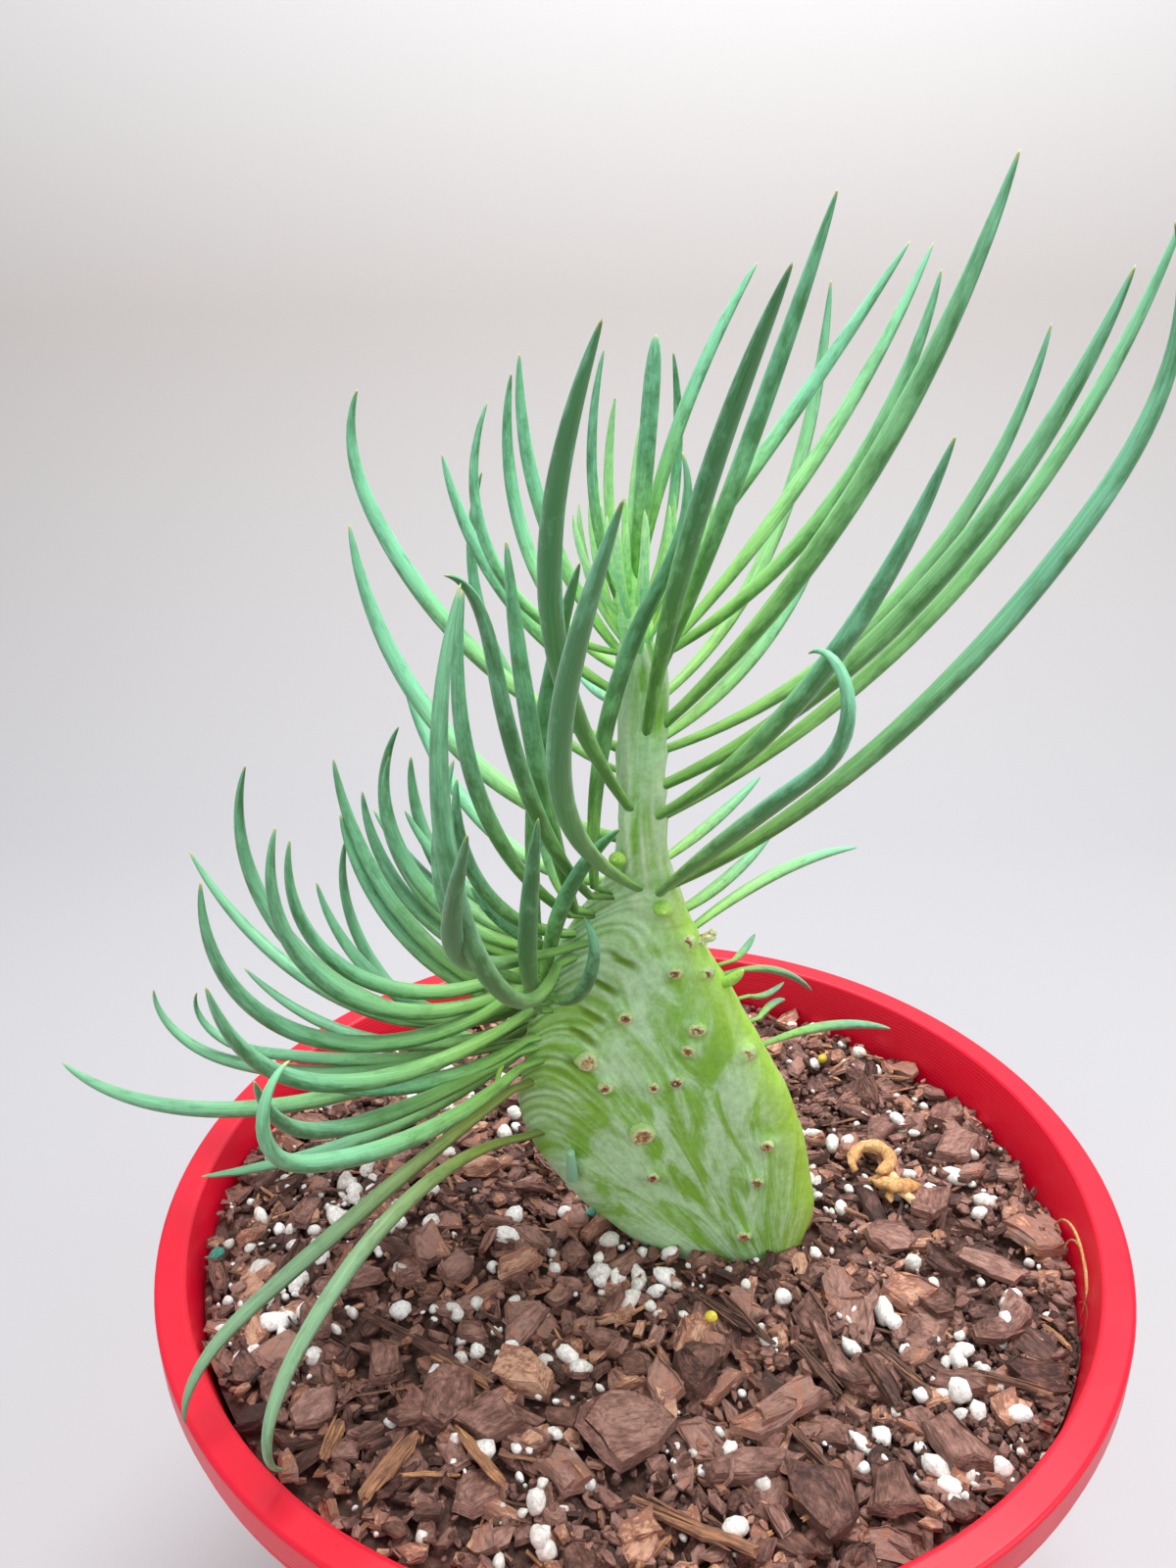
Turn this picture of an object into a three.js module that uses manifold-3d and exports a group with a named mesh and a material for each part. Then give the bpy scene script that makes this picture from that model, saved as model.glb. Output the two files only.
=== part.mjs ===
// Crested chalk sticks (a fan-shaped, crested Senecio vitalis) in a round red plastic pot.
// Millimetres, +Z up. The origin is the middle of the pot's flat bottom, where it stands.
// The plant shows its broad face to -Y, with its crest and drooping leaves to -X.

import * as THREE from 'three';
import { mergeVertices } from 'three/addons/utils/BufferGeometryUtils.js';
import Module from 'manifold-3d';

const wasm = await Module();
wasm.setup();

// Driving sizes of the pot
const POT_HEIGHT = 140;
const RIM_RADIUS = 90;
const RIM_WIDTH = 5.4;
const BEAD_DEPTH = 8.4;
const WALL = 2.2;
const FOOT_RADIUS = 60;
const FLOOR = 3;
const HOLE_COUNT = 5;
const HOLE_RADIUS = 4.5;
const HOLE_RING = 38;

// Clearance between pieces that touch
const GAP = 0.3;

// The potting mix: how far its top lies below the rim at the middle, and its lean down to the right and back
const MIX_BELOW_RIM = 9.5;
const MIX_SLOPE = 0.04;
const CHIP_COUNT = 66;
const GRAIN_COUNT = 26;

// The plant's broad faces are square to Y, about this plane
const PLANT_Y = -6;
const SHOOT_RADIUS = 3.6;
const TIP_RADIUS = 2.6;

// Heights on the plant are measured from the rim's plane
// Level slices of the fan, from its stalk in the mix to the foot of the shoot: [height, left, right, thickness]
const FAN_SLICES = [
  [-34, 13, 24, 8], [-26, 9.5, 27.5, 10], [-18, 5.5, 30, 11.5], [-10, 0, 32, 12.5], [-2, -9, 33.5, 13],
  [5, -14.5, 32.8, 13], [12.5, -19.5, 31.3, 13], [20, -21.5, 29, 13], [28, -21, 26, 12.5],
  [37, -19.5, 21.5, 12], [45, -17, 17.3, 11], [53, -14, 13, 10], [60, -10.5, 9.5, 9],
  [64.5, -7, 7.8, 8.2], [68, -4.5, 6.5, 7.8], [73, -3, 5.3, 7.4], [80, -2.4, 4.8, 7.2],
];
const FAN_SIDES = 20;
const FAN_SQUARENESS = 0.8;
const SHOOT_LINE = [[5, 55], [3, 63], [1.5, 72], [1, 80], [1, 92], [1.5, 99], [1, 105], [0.3, 109.5]];
const TIP_LINE = [[0.2, 109.8], [-0.4, 113], [-1, 118], [-1.2, 122]];
const CREST_LINE = [[-20, 15], [-21, 21], [-20.5, 28.5], [-18.5, 37], [-16, 45], [-13, 54], [-10, 61], [-6, 66]];

// Leaves of the upright shoot. `at` is the height of the root, `bearing` its compass angle (0 is +X, 90 is +Y),
// `rise` the angle above level at the root and `end` at the tip, `hook` an extra turn near the tip,
// `swing` the change of bearing, and `length` and `width` the leaf's own size.
const SHOOT_LEAVES = [
  { at: 54, bearing: 40, rise: 20, end: -15, length: 52, width: 2.4, swing: 5 },
  { at: 59, bearing: 45, rise: 0, end: 30, length: 30, width: 2.5 },
  { at: 65, bearing: -70, rise: 40, end: 40, length: 84, width: 2.9, swing: 10, hook: 180 },
  { at: 66, bearing: -120, rise: 35, end: 55, length: 108, width: 3.2, swing: 60 },
  { at: 67, bearing: 140, rise: -30, end: 80, length: 78, width: 3 },
  { at: 69, bearing: 50, rise: 5, end: 20, length: 32, width: 2.3 },
  { at: 66, bearing: -40, rise: 35, end: 70, length: 126, width: 3.6, swing: 55, hook: 50 },
  { at: 74, bearing: 150, rise: -5, end: 85, length: 84, width: 3.7 },
  { at: 78, bearing: 10, rise: 25, end: 75, length: 124, width: 3.3, swing: -5 },
  { at: 80, bearing: -125, rise: 50, end: 50, length: 100, width: 3.2, swing: 65 },
  { at: 79, bearing: -45, rise: 35, end: 70, length: 82, width: 3.4 },
  { at: 84, bearing: -20, rise: 30, end: 73, length: 101, width: 3.8 },
  { at: 90, bearing: 160, rise: 15, end: 80, length: 80, width: 3.4, hook: 40 },
  { at: 86, bearing: 150, rise: 5, end: 115, length: 64, width: 2.3 },
  { at: 90, bearing: 10, rise: 15, end: 80, length: 92, width: 3, swing: -5 },
  { at: 91, bearing: 45, rise: 10, end: 50, length: 50, width: 2.8 },
  { at: 93, bearing: -75, rise: 65, end: 45, length: 84, width: 3.1, swing: 5 },
  { at: 94, bearing: -20, rise: 45, end: 75, length: 94, width: 3.7 },
  { at: 98, bearing: 50, rise: 15, end: 85, length: 88, width: 2.8, swing: 10 },
  { at: 98, bearing: 115, rise: -20, end: 10, length: 26, width: 1.9 },
  { at: 99, bearing: 170, rise: 25, end: 80, length: 50, width: 2.7 },
  { at: 100, bearing: 80, rise: -10, end: 75, length: 60, width: 2.4 },
  { at: 103, bearing: 130, rise: 0, end: 110, length: 64, width: 2.7 },
  { at: 102, bearing: -40, rise: 65, end: 70, length: 74, width: 3 },
  { at: 105, bearing: 35, rise: 35, end: 60, length: 84, width: 2.8 },
  { at: 105, bearing: 150, rise: 40, end: 95, length: 52, width: 2.7 },
  { at: 106, bearing: -5, rise: 30, end: 80, length: 70, width: 3 },
  { at: 107, bearing: -165, rise: 10, end: 115, length: 50, width: 2.1 },
];

// Young leaves standing round the shoot's growing tip
const YOUNG_LEAVES = [
  { at: 111, bearing: 190, rise: 65, end: 105, length: 42, width: 1.9 },
  { at: 111, bearing: 125, rise: 85, end: 105, length: 32, width: 1.7 },
  { at: 111, bearing: 35, rise: 45, end: 55, length: 72, width: 2.8, swing: -20 },
  { at: 112, bearing: 65, rise: 25, end: 115, length: 46, width: 1.8, swing: 5 },
  { at: 112, bearing: 135, rise: 65, end: 105, length: 34, width: 1.8 },
  { at: 112, bearing: 120, rise: 35, end: 95, length: 28, width: 1.8 },
  { at: 112, bearing: 85, rise: 70, end: 55, length: 40, width: 1.6, swing: -10 },
  { at: 112, bearing: -155, rise: 40, end: 85, length: 20, width: 1.5 },
  { at: 113, bearing: 250, rise: 70, end: 100, length: 15, width: 1.4 },
  { at: 115, bearing: 35, rise: 80, end: 50, length: 54, width: 2.4 },
  { at: 116, bearing: -20, rise: 85, end: 85, length: 38, width: 2.2 },
];

// Leaves of the crest. `along` is how far up the crest's edge the root is, and `side` how far
// behind its middle.
const CREST_LEAVES = [
  { along: 2, side: -5, bearing: -125, rise: 30, end: -45, length: 82, width: 2.8, swing: 15, hook: -100 },
  { along: 13, side: -3, bearing: -135, rise: -10, end: -15, length: 78, width: 3, swing: 5, hook: -80 },
  { along: 18, side: -4, bearing: -115, rise: 5, end: 45, length: 84, width: 3.2, hook: 140 },
  { along: 18, side: 3, bearing: 165, rise: -25, end: 10, length: 80, width: 2.8, swing: 5, hook: 110 },
  { along: 21, side: -3, bearing: 200, rise: -25, end: 70, length: 72, width: 3.2, swing: 75 },
  { along: 21, side: -3, bearing: 185, rise: -40, end: -5, length: 68, width: 2.9 },
  { along: 23, side: -3, bearing: 200, rise: -30, end: 30, length: 42, width: 3.2 },
  { along: 24, side: 3, bearing: 170, rise: -40, end: 20, length: 94, width: 3.2, swing: -5, hook: 80 },
  { along: 24, side: 4, bearing: 175, rise: -40, end: 45, length: 64, width: 2.6, swing: -10 },
  { along: 25, side: 3, bearing: 150, rise: -5, end: 85, length: 68, width: 3.2, swing: -5 },
  { along: 25, side: 3, bearing: 150, rise: -15, end: 80, length: 60, width: 3.3 },
  { along: 28, side: -3, bearing: -95, rise: 45, end: 65, length: 66, width: 3, swing: 25 },
  { along: 28, side: 0, bearing: 205, rise: -25, end: 0, length: 108, width: 3.3, swing: -65 },
  { along: 29, side: 3, bearing: 155, rise: -45, end: 60, length: 98, width: 3.3 },
  { along: 30, side: -2, bearing: 205, rise: -30, end: 80, length: 78, width: 3.4, swing: 45 },
  { along: 30, side: -4, bearing: -50, rise: 85, end: 40, length: 48, width: 3 },
  { along: 31, side: 3, bearing: 165, rise: -50, end: 115, length: 98, width: 3.6 },
  { along: 31, side: -2, bearing: -50, rise: 105, end: 40, length: 90, width: 2.9, swing: -25 },
  { along: 32, side: -3, bearing: -60, rise: 10, end: 95, length: 32, width: 2.6, swing: 5, hook: 70 },
  { along: 33, side: 3, bearing: 155, rise: -65, end: 80, length: 70, width: 3.1 },
  { along: 34, side: 3, bearing: 155, rise: -20, end: 90, length: 56, width: 3 },
  { along: 34, side: 3, bearing: 145, rise: -85, end: 115, length: 92, width: 3, swing: 5 },
  { along: 35, side: -2, bearing: -130, rise: 15, end: 120, length: 58, width: 3.1 },
  { along: 36, side: 3, bearing: 205, rise: -35, end: 110, length: 76, width: 3.4, swing: 5 },
  { along: 36, side: 3, bearing: 155, rise: -20, end: 125, length: 66, width: 3 },
  { along: 39, side: 3, bearing: 155, rise: -25, end: 110, length: 58, width: 3, swing: 5 },
  { along: 39, side: 3, bearing: 140, rise: -30, end: 100, length: 58, width: 3.2 },
  { along: 37, side: 4, bearing: 145, rise: -10, end: 45, length: 52, width: 2.8, swing: -5 },
  { along: 39, side: 0, bearing: 195, rise: -50, end: 100, length: 86, width: 3.4, swing: 30 },
  { along: 40, side: -3, bearing: -95, rise: 0, end: 120, length: 104, width: 3.1, swing: -25 },
  { along: 41, side: 3, bearing: 195, rise: -45, end: 105, length: 70, width: 3.1, swing: 15 },
  { along: 41, side: -3, bearing: 200, rise: 25, end: 65, length: 22, width: 2.5 },
  { along: 41, side: 4, bearing: 150, rise: -10, end: 55, length: 42, width: 2.6, swing: -5 },
  { along: 43, side: -5, bearing: -125, rise: 15, end: 60, length: 82, width: 3.1, swing: 65 },
  { along: 44, side: -2, bearing: 215, rise: 20, end: 100, length: 42, width: 2.8 },
  { along: 46, side: 4, bearing: 120, rise: 0, end: 130, length: 26, width: 2.2, swing: 5 },
  { along: 48, side: -3, bearing: 220, rise: 40, end: 105, length: 66, width: 3 },
  { along: 48, side: -3, bearing: -115, rise: 65, end: 85, length: 70, width: 3.1 },
  { along: 53, side: -4, bearing: -120, rise: 45, end: 90, length: 74, width: 2.8, swing: 5, hook: -80 },
  { along: 53, side: -4, bearing: -40, rise: 95, end: 45, length: 78, width: 3, hook: 70 },
];

// Small leaves on the fan's outer edge, with the root's place as [x, height]
const EDGE_LEAVES = [
  { root: [17, 50], bearing: 65, rise: -15, end: 10, length: 12, width: 1.4 },
  { root: [17.5, 48], bearing: 55, rise: -20, end: -45, length: 38, width: 1.7 },
  { root: [20, 43], bearing: 60, rise: -35, end: -5, length: 18, width: 1.3 },
  { root: [22, 38], bearing: 70, rise: -10, end: -30, length: 20, width: 1.5, swing: -5 },
  { root: [24, 33], bearing: 40, rise: -5, end: -30, length: 36, width: 2.1, swing: -5 },
];

// Scars left by fallen leaves on the fan's faces, as [x, height]
const FRONT_SCARS = [
  [4, 63], [6.5, 52], [-2, 43.5], [10.5, 41], [9, 37], [19.5, 35], [3, 29.5], [7, 30.5], [-5.5, 29],
  [1, 19.5], [23.5, 16], [22, 8.5], [3, 10], [20, -3.5], [8.8, 57], [12, 51], [-8.5, 34.5],
];
const BACK_SCARS = [[5, 58], [10, 46], [1, 40], [15, 33], [-6, 31], [8, 24], [22, 20], [-1, 14], [16, 8], [27, 1]];
const SCAR_RADIUS = 1.2;
const SCAR_HEIGHT = 0.7;

// Ribs where crowded leaf bases run over the fan's faces to the crest
const RIB_SPACING = 6;
const RIB_LENGTH = 17;
const RIB_WIDTH = 2.4;

const LEAF_SIDES = 6;
const LEAF_RINGS = [0, 0.12, 0.28, 0.46, 0.64, 0.8, 0.93];
const LEAF_SHAPE = [0.54, 0.68, 0.87, 1, 0.96, 0.8, 0.5];
const LEAF_FLATNESS = 0.82;
const PATH_STEPS = 32;
const HOOK_START = 0.7;
const ROOT_DEPTH = 4;

const finish = (colour, roughness) => new THREE.MeshStandardMaterial({ color: colour, roughness, metalness: 0 });
const RED_PLASTIC = finish(0xe8203a, 0.4);
const BARK = finish(0x5a3b2e, 0.95);
const STEM_GREEN = finish(0x9ccb7c, 0.6);
const LEAF_GREEN = finish(0x6fae8a, 0.55);
const YOUNG_GREEN = finish(0x8ccf55, 0.5);

const plant = new THREE.Group();
plant.position.z = POT_HEIGHT;
const model = new THREE.Group();
model.add(plant);

// Seeded draws, so the mix comes out alike each time
let seed = 7;
function draw(low, high) {
  seed = (seed * 1103515245 + 12345) % 2147483648;
  return low + (high - low) * (seed / 2147483648);
}

// Turns a closed geometry into a solid that can be joined and cut
function solid(geometry) {
  const bare = geometry.clone();
  bare.deleteAttribute('normal');
  bare.deleteAttribute('uv');
  const merged = mergeVertices(bare);
  const index = [];
  const found = merged.index.array;
  for (let i = 0; i < found.length; i += 3) {
    const [a, b, c] = [found[i], found[i + 1], found[i + 2]];
    if (a !== b && b !== c && c !== a) index.push(a, b, c);
  }
  return new wasm.Manifold(new wasm.Mesh({
    numProp: 3,
    vertProperties: new Float32Array(merged.attributes.position.array),
    triVerts: new Uint32Array(index),
  }));
}

function meshOf(name, body, material) {
  const found = body.getMesh();
  const geometry = new THREE.BufferGeometry();
  geometry.setAttribute('position', new THREE.BufferAttribute(new Float32Array(found.vertProperties), 3));
  geometry.setIndex(new THREE.BufferAttribute(new Uint32Array(found.triVerts), 1));
  geometry.computeVertexNormals();
  const mesh = new THREE.Mesh(geometry, material);
  mesh.name = name;
  return mesh;
}

function joined(bodies) {
  return bodies.reduce((all, body) => all.add(body));
}

// Drops the scraps that a cut leaves loose
function largest(body) {
  return body.decompose().reduce((best, piece) => (piece.volume() > best.volume() ? piece : best));
}

// Turns a geometry made about Y so that it stands up along Z
function upright(geometry) {
  return geometry.rotateX(Math.PI / 2);
}

function lathe(profile, segments) {
  return upright(new THREE.LatheGeometry(profile.map(([r, z]) => new THREE.Vector2(r, z)), segments));
}

// The pot's inner wall at a height above its foot
function innerRadius(z) {
  const top = RIM_RADIUS - RIM_WIDTH;
  const low = FOOT_RADIUS - WALL;
  return low + (top - low) * (z - FLOOR) / (POT_HEIGHT - FLOOR);
}

function potBody() {
  const bead = POT_HEIGHT - BEAD_DEPTH;
  const groove = bead + 2.2;
  const shell = lathe([
    [0, 0],
    [FOOT_RADIUS - 1.5, 0],
    [FOOT_RADIUS, 1.5],
    [innerRadius(bead) + WALL, bead],
    [RIM_RADIUS - 1.4, bead],
    [RIM_RADIUS - 0.5, bead + 0.8],
    [RIM_RADIUS - 0.5, groove - 0.5],
    [RIM_RADIUS - 1.3, groove],
    [RIM_RADIUS, groove + 0.7],
    [RIM_RADIUS, POT_HEIGHT - 1.3],
    [RIM_RADIUS - 1.3, POT_HEIGHT],
    [RIM_RADIUS - RIM_WIDTH + 0.6, POT_HEIGHT],
    [innerRadius(POT_HEIGHT - 0.6), POT_HEIGHT - 0.6],
    [innerRadius(FLOOR), FLOOR],
    [0, FLOOR],
  ], 48);
  let body = solid(shell);
  for (let i = 0; i < HOLE_COUNT; i++) {
    const angle = 2 * Math.PI * (i + 0.5) / HOLE_COUNT;
    const hole = upright(new THREE.CylinderGeometry(HOLE_RADIUS, HOLE_RADIUS, 4 * FLOOR, 12));
    hole.translate(HOLE_RING * Math.cos(angle), HOLE_RING * Math.sin(angle), 0);
    body = body.subtract(solid(hole));
  }
  return body;
}

// Height of the mix's surface, measured from the rim's plane
function mixLevel(x, y) {
  return -MIX_BELOW_RIM - MIX_SLOPE * Math.SQRT1_2 * (x + y);
}

// A flat chip of bark: a box whose corners are drawn in unevenly
function barkChip(length, width, thickness) {
  const chip = new THREE.BoxGeometry(length, width, thickness);
  const place = chip.attributes.position;
  const pull = new Map();
  for (let i = 0; i < place.count; i++) {
    const key = [place.getX(i), place.getY(i), place.getZ(i)].map(Math.sign).join();
    if (!pull.has(key)) pull.set(key, [draw(0.6, 1), draw(0.55, 1), draw(0.7, 1)]);
    const [a, b, c] = pull.get(key);
    place.setXYZ(i, place.getX(i) * a, place.getY(i) * b, place.getZ(i) * c);
  }
  return chip;
}

// Lays a piece on the mix's surface at a random spot inside the pot, clear of the wall
function scatter(piece, reach, tilt) {
  const span = innerRadius(POT_HEIGHT - MIX_BELOW_RIM - 6) - GAP - reach;
  const far = span * Math.sqrt(draw(0, 1));
  const angle = draw(0, 2 * Math.PI);
  const [x, y] = [far * Math.cos(angle), far * Math.sin(angle)];
  piece.rotateX(draw(-tilt, tilt));
  piece.rotateY(draw(-tilt, tilt));
  piece.rotateZ(draw(0, 2 * Math.PI));
  piece.translate(x, y, mixLevel(x, y) + draw(-0.4, 0.6));
  return solid(piece);
}

// The mix fills the pot, and its top is a bed of bark chips and perlite grains
function mixBody(stem) {
  const floor = FLOOR + GAP - POT_HEIGHT;
  const bed = lathe([
    [0, floor],
    [innerRadius(FLOOR) - GAP, floor],
    [innerRadius(POT_HEIGHT - MIX_BELOW_RIM - 4) - GAP, -MIX_BELOW_RIM - 4],
    [50, -MIX_BELOW_RIM],
    [0, -MIX_BELOW_RIM],
  ], 32);
  const place = bed.attributes.position;
  for (let i = 0; i < place.count; i++) {
    const [x, y, z] = [place.getX(i), place.getY(i), place.getZ(i)];
    if (z > floor / 2) {
      const onWall = Math.hypot(x, y) > 60;
      const level = mixLevel(x, y) - (onWall ? 1 : 0.4);
      const reach = onWall ? (innerRadius(POT_HEIGHT + level) - GAP - 0.2) / Math.hypot(x, y) : 1;
      place.setXYZ(i, x * reach, y * reach, level);
    }
  }
  const bodies = [solid(bed)];
  for (let i = 0; i < CHIP_COUNT; i++) {
    const length = draw(9, 18);
    bodies.push(scatter(barkChip(length, length * draw(0.45, 0.8), draw(2.6, 4.2)), length * 0.62, 0.28));
  }
  for (let i = 0; i < GRAIN_COUNT; i++) {
    const radius = draw(1.5, 2.6);
    bodies.push(scatter(new THREE.OctahedronGeometry(radius).scale(1.15, 1, 0.9), radius * 1.2, 0.6));
  }
  return largest(joined(bodies).subtract(stem));
}

// A round rod bent along a line: `radii` are given at fractions of the line, and it closes on both ends
function bentRod(line, fractions, radii, sides, flatness) {
  const profile = [new THREE.Vector2(0, fractions[0])];
  fractions.forEach((t, i) => profile.push(new THREE.Vector2(radii[i], t)));
  profile.push(new THREE.Vector2(0, 1));
  const rod = new THREE.LatheGeometry(profile, sides);
  const place = rod.attributes.position;
  const spot = new THREE.Vector3();
  for (let i = 0; i < place.count; i++) {
    const { point, side, normal } = line(place.getY(i));
    spot.copy(point).addScaledVector(side, place.getX(i)).addScaledVector(normal, place.getZ(i) * flatness);
    place.setXYZ(i, spot.x, spot.y, spot.z);
  }
  return solid(rod);
}

// The centre line of a leaf that sets out from `start` and bends as its values say
function leafLine(leaf, start, anchor) {
  const rad = THREE.MathUtils.degToRad;
  const heading = (t) => {
    const hook = (leaf.hook ?? 0) * Math.max(0, (t - HOOK_START) / (1 - HOOK_START)) ** 2;
    return [rad(leaf.bearing + (leaf.swing ?? 0) * t), rad(leaf.rise + (leaf.end - leaf.rise) * t + hook)];
  };
  const along = (b, r) => new THREE.Vector3(Math.cos(r) * Math.cos(b), Math.cos(r) * Math.sin(b), Math.sin(r));
  const points = [start.clone()];
  for (let i = 0; i < PATH_STEPS; i++) {
    const step = along(...heading((i + 0.5) / PATH_STEPS)).multiplyScalar(leaf.length / PATH_STEPS);
    points.push(points[i].clone().add(step));
  }
  return (fraction) => {
    const t = Math.max(0, fraction);
    const spot = Math.min(t * PATH_STEPS, PATH_STEPS - 1e-6);
    const point = points[Math.floor(spot)].clone().lerp(points[Math.floor(spot) + 1], spot % 1);
    if (fraction <= 0) point.copy(anchor);
    const [b, r] = heading(t);
    return {
      point,
      side: new THREE.Vector3(-Math.sin(b), Math.cos(b), 0),
      normal: new THREE.Vector3(Math.sin(r) * Math.cos(b), Math.sin(r) * Math.sin(b), -Math.cos(r)),
    };
  };
}

// `anchor` is where the root ends, inside what the leaf grows from
function leafBody(leaf, start, anchor) {
  const radii = LEAF_SHAPE.map((share) => share * leaf.width / 2);
  return bentRod(leafLine(leaf, start, anchor), LEAF_RINGS, radii, LEAF_SIDES, LEAF_FLATNESS);
}

// A point on a line of [x, height] pairs, by height or by distance along it
function atHeight(line, z) {
  const next = Math.max(1, line.findIndex(([, height]) => height > z));
  const [[x0, z0], [x1, z1]] = [line[next - 1], line[next]];
  return x0 + (x1 - x0) * (z - z0) / (z1 - z0);
}

function alongCrest(distance) {
  let left = distance;
  for (let i = 1; i < CREST_LINE.length; i++) {
    const [[x0, z0], [x1, z1]] = [CREST_LINE[i - 1], CREST_LINE[i]];
    const run = Math.hypot(x1 - x0, z1 - z0);
    if (left <= run || i === CREST_LINE.length - 1) {
      return new THREE.Vector3(x0 + (x1 - x0) * left / run, PLANT_Y, z0 + (z1 - z0) * left / run);
    }
    left -= run;
  }
}

// A leaf of the shoot or its tip, with its root a little inside the bark
function shootLeaf(leaf) {
  const onTip = leaf.at >= TIP_LINE[0][1];
  const bearing = THREE.MathUtils.degToRad(leaf.bearing);
  const spot = (inside) => new THREE.Vector3(
    atHeight(onTip ? TIP_LINE : SHOOT_LINE, leaf.at) + inside * Math.cos(bearing),
    PLANT_Y + inside * Math.sin(bearing),
    leaf.at,
  );
  return leafBody(leaf, spot(onTip ? 0.8 : 2.2), spot(onTip ? 0 : 1.6));
}

// A rod through [x, height] points in the plant's plane
function stalk(line, radii, clearance) {
  const curve = new THREE.CatmullRomCurve3(line.map(([x, z]) => new THREE.Vector3(x, PLANT_Y, z)));
  const up = curve.getPoint(1);
  const low = curve.getPoint(0);
  const path = (t) => {
    const point = curve.getPoint(t);
    if (t <= 0) point.z = low.z - clearance;
    if (t >= 1) point.z = up.z + clearance;
    return { point, side: new THREE.Vector3(1, 0, 0), normal: new THREE.Vector3(0, -1, 0) };
  };
  const fractions = radii.map((_, i) => i / radii.length);
  return bentRod(path, fractions, radii.map((radius) => radius + clearance), 10, 1);
}

// The flattened fan: a cylinder whose rows are set to the slices, with broad faces and rounded edges
function fanBody(clearance) {
  const rows = FAN_SLICES.length - 1;
  const fan = new THREE.CylinderGeometry(1, 1, rows, FAN_SIDES, rows);
  upright(fan);
  const place = fan.attributes.position;
  const soften = (value) => Math.sign(value) * Math.abs(value) ** FAN_SQUARENESS;
  for (let i = 0; i < place.count; i++) {
    const row = Math.round(place.getZ(i) + rows / 2);
    const [z, left, right, thickness] = FAN_SLICES[row];
    const end = row === 0 ? -clearance : row === rows ? clearance : 0;
    const x = (left + right) / 2 + soften(place.getX(i)) * ((right - left) / 2 + clearance);
    place.setXYZ(i, x, PLANT_Y + soften(place.getY(i)) * (thickness / 2 + clearance), z + end);
  }
  return solid(fan);
}

// How far the fan's faces stand from its middle plane at a place on them
function faceDepth(x, z) {
  const next = Math.max(1, FAN_SLICES.findIndex(([height]) => height > z));
  const [low, high] = [FAN_SLICES[next - 1], FAN_SLICES[next]];
  const share = (z - low[0]) / (high[0] - low[0]);
  const [, left, right, thickness] = low.map((value, i) => value + (high[i] - value) * share);
  const across = Math.min(0.98, Math.abs(x - (left + right) / 2) / ((right - left) / 2));
  return thickness / 2 * (1 - across ** (2 / FAN_SQUARENESS)) ** (FAN_SQUARENESS / 2);
}

function scarBody(x, z, face) {
  const scar = new THREE.CylinderGeometry(SCAR_RADIUS * 0.6, SCAR_RADIUS, 2 + SCAR_HEIGHT, 7);
  if (face < 0) scar.rotateX(Math.PI);
  scar.translate(x, PLANT_Y + face * (faceDepth(x, z) - 1 + SCAR_HEIGHT / 2), z);
  return solid(scar);
}

// One crowded leaf base, lying on a face of the fan from the crest's edge inward
function ribBody(distance, face) {
  const root = alongCrest(distance);
  root.x += 3;
  root.y += face * (faceDepth(root.x, root.z) - 0.3);
  const rib = { bearing: 0, swing: -face * 20, rise: 35, end: -5, length: RIB_LENGTH, width: RIB_WIDTH };
  return leafBody(rib, root, root.clone().add(new THREE.Vector3(-2, -face, 0)));
}

function stemCore(clearance) {
  const shoot = stalk(SHOOT_LINE, [5, 4.4, SHOOT_RADIUS, SHOOT_RADIUS, SHOOT_RADIUS, 3.4, 3.1], clearance);
  return fanBody(clearance).add(shoot);
}

// A leaf of the crest, with its root sunk in the crest's edge
function crestLeaf(leaf) {
  const root = alongCrest(leaf.along);
  root.y += leaf.side;
  const anchor = root.clone().add(new THREE.Vector3(ROOT_DEPTH, -leaf.side * 0.4, 0));
  return leafBody(leaf, root, anchor);
}

function edgeLeaf(leaf) {
  const [x, z] = leaf.root;
  const root = new THREE.Vector3(x, PLANT_Y + 2, z);
  return leafBody(leaf, root, new THREE.Vector3(x - ROOT_DEPTH, PLANT_Y, z));
}

function stemBody() {
  const bodies = [stemCore(0)];
  CREST_LEAVES.forEach((leaf) => bodies.push(crestLeaf(leaf)));
  EDGE_LEAVES.forEach((leaf) => bodies.push(edgeLeaf(leaf)));
  for (let distance = 4; distance < 50; distance += RIB_SPACING) {
    bodies.push(ribBody(distance, -1), ribBody(distance + RIB_SPACING / 2, 1));
  }
  FRONT_SCARS.forEach(([x, z]) => bodies.push(scarBody(x, z, -1)));
  BACK_SCARS.forEach(([x, z]) => bodies.push(scarBody(x, z, 1)));
  return joined(bodies);
}

function growingTip(room) {
  const bodies = [stalk(TIP_LINE, [3, TIP_RADIUS, 1.8], 0)];
  YOUNG_LEAVES.forEach((leaf) => bodies.push(shootLeaf(leaf)));
  return joined(bodies).subtract(room);
}

const room = stemCore(GAP);
const pot = meshOf('pot', potBody(), RED_PLASTIC);
model.add(pot);
plant.add(meshOf('potting_mix', mixBody(room), BARK));
plant.add(meshOf('crested_stem', stemBody(), STEM_GREEN));
plant.add(meshOf('growing_tip', growingTip(room), YOUNG_GREEN));

SHOOT_LEAVES.forEach((leaf, i) => {
  const name = `shoot_leaf_${String(i + 1).padStart(2, '0')}`;
  plant.add(meshOf(name, shootLeaf(leaf).subtract(room), LEAF_GREEN));
});

export default model;
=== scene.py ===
"""Crested chalk sticks in a round red plastic pot of bark and perlite mix.

Sizes are in metres in the frame of the CAD model. MM turns millimetres to metres, and heights on
the plant are measured from the plane of the pot's rim.
"""

import math
import random
from functools import partial

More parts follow.
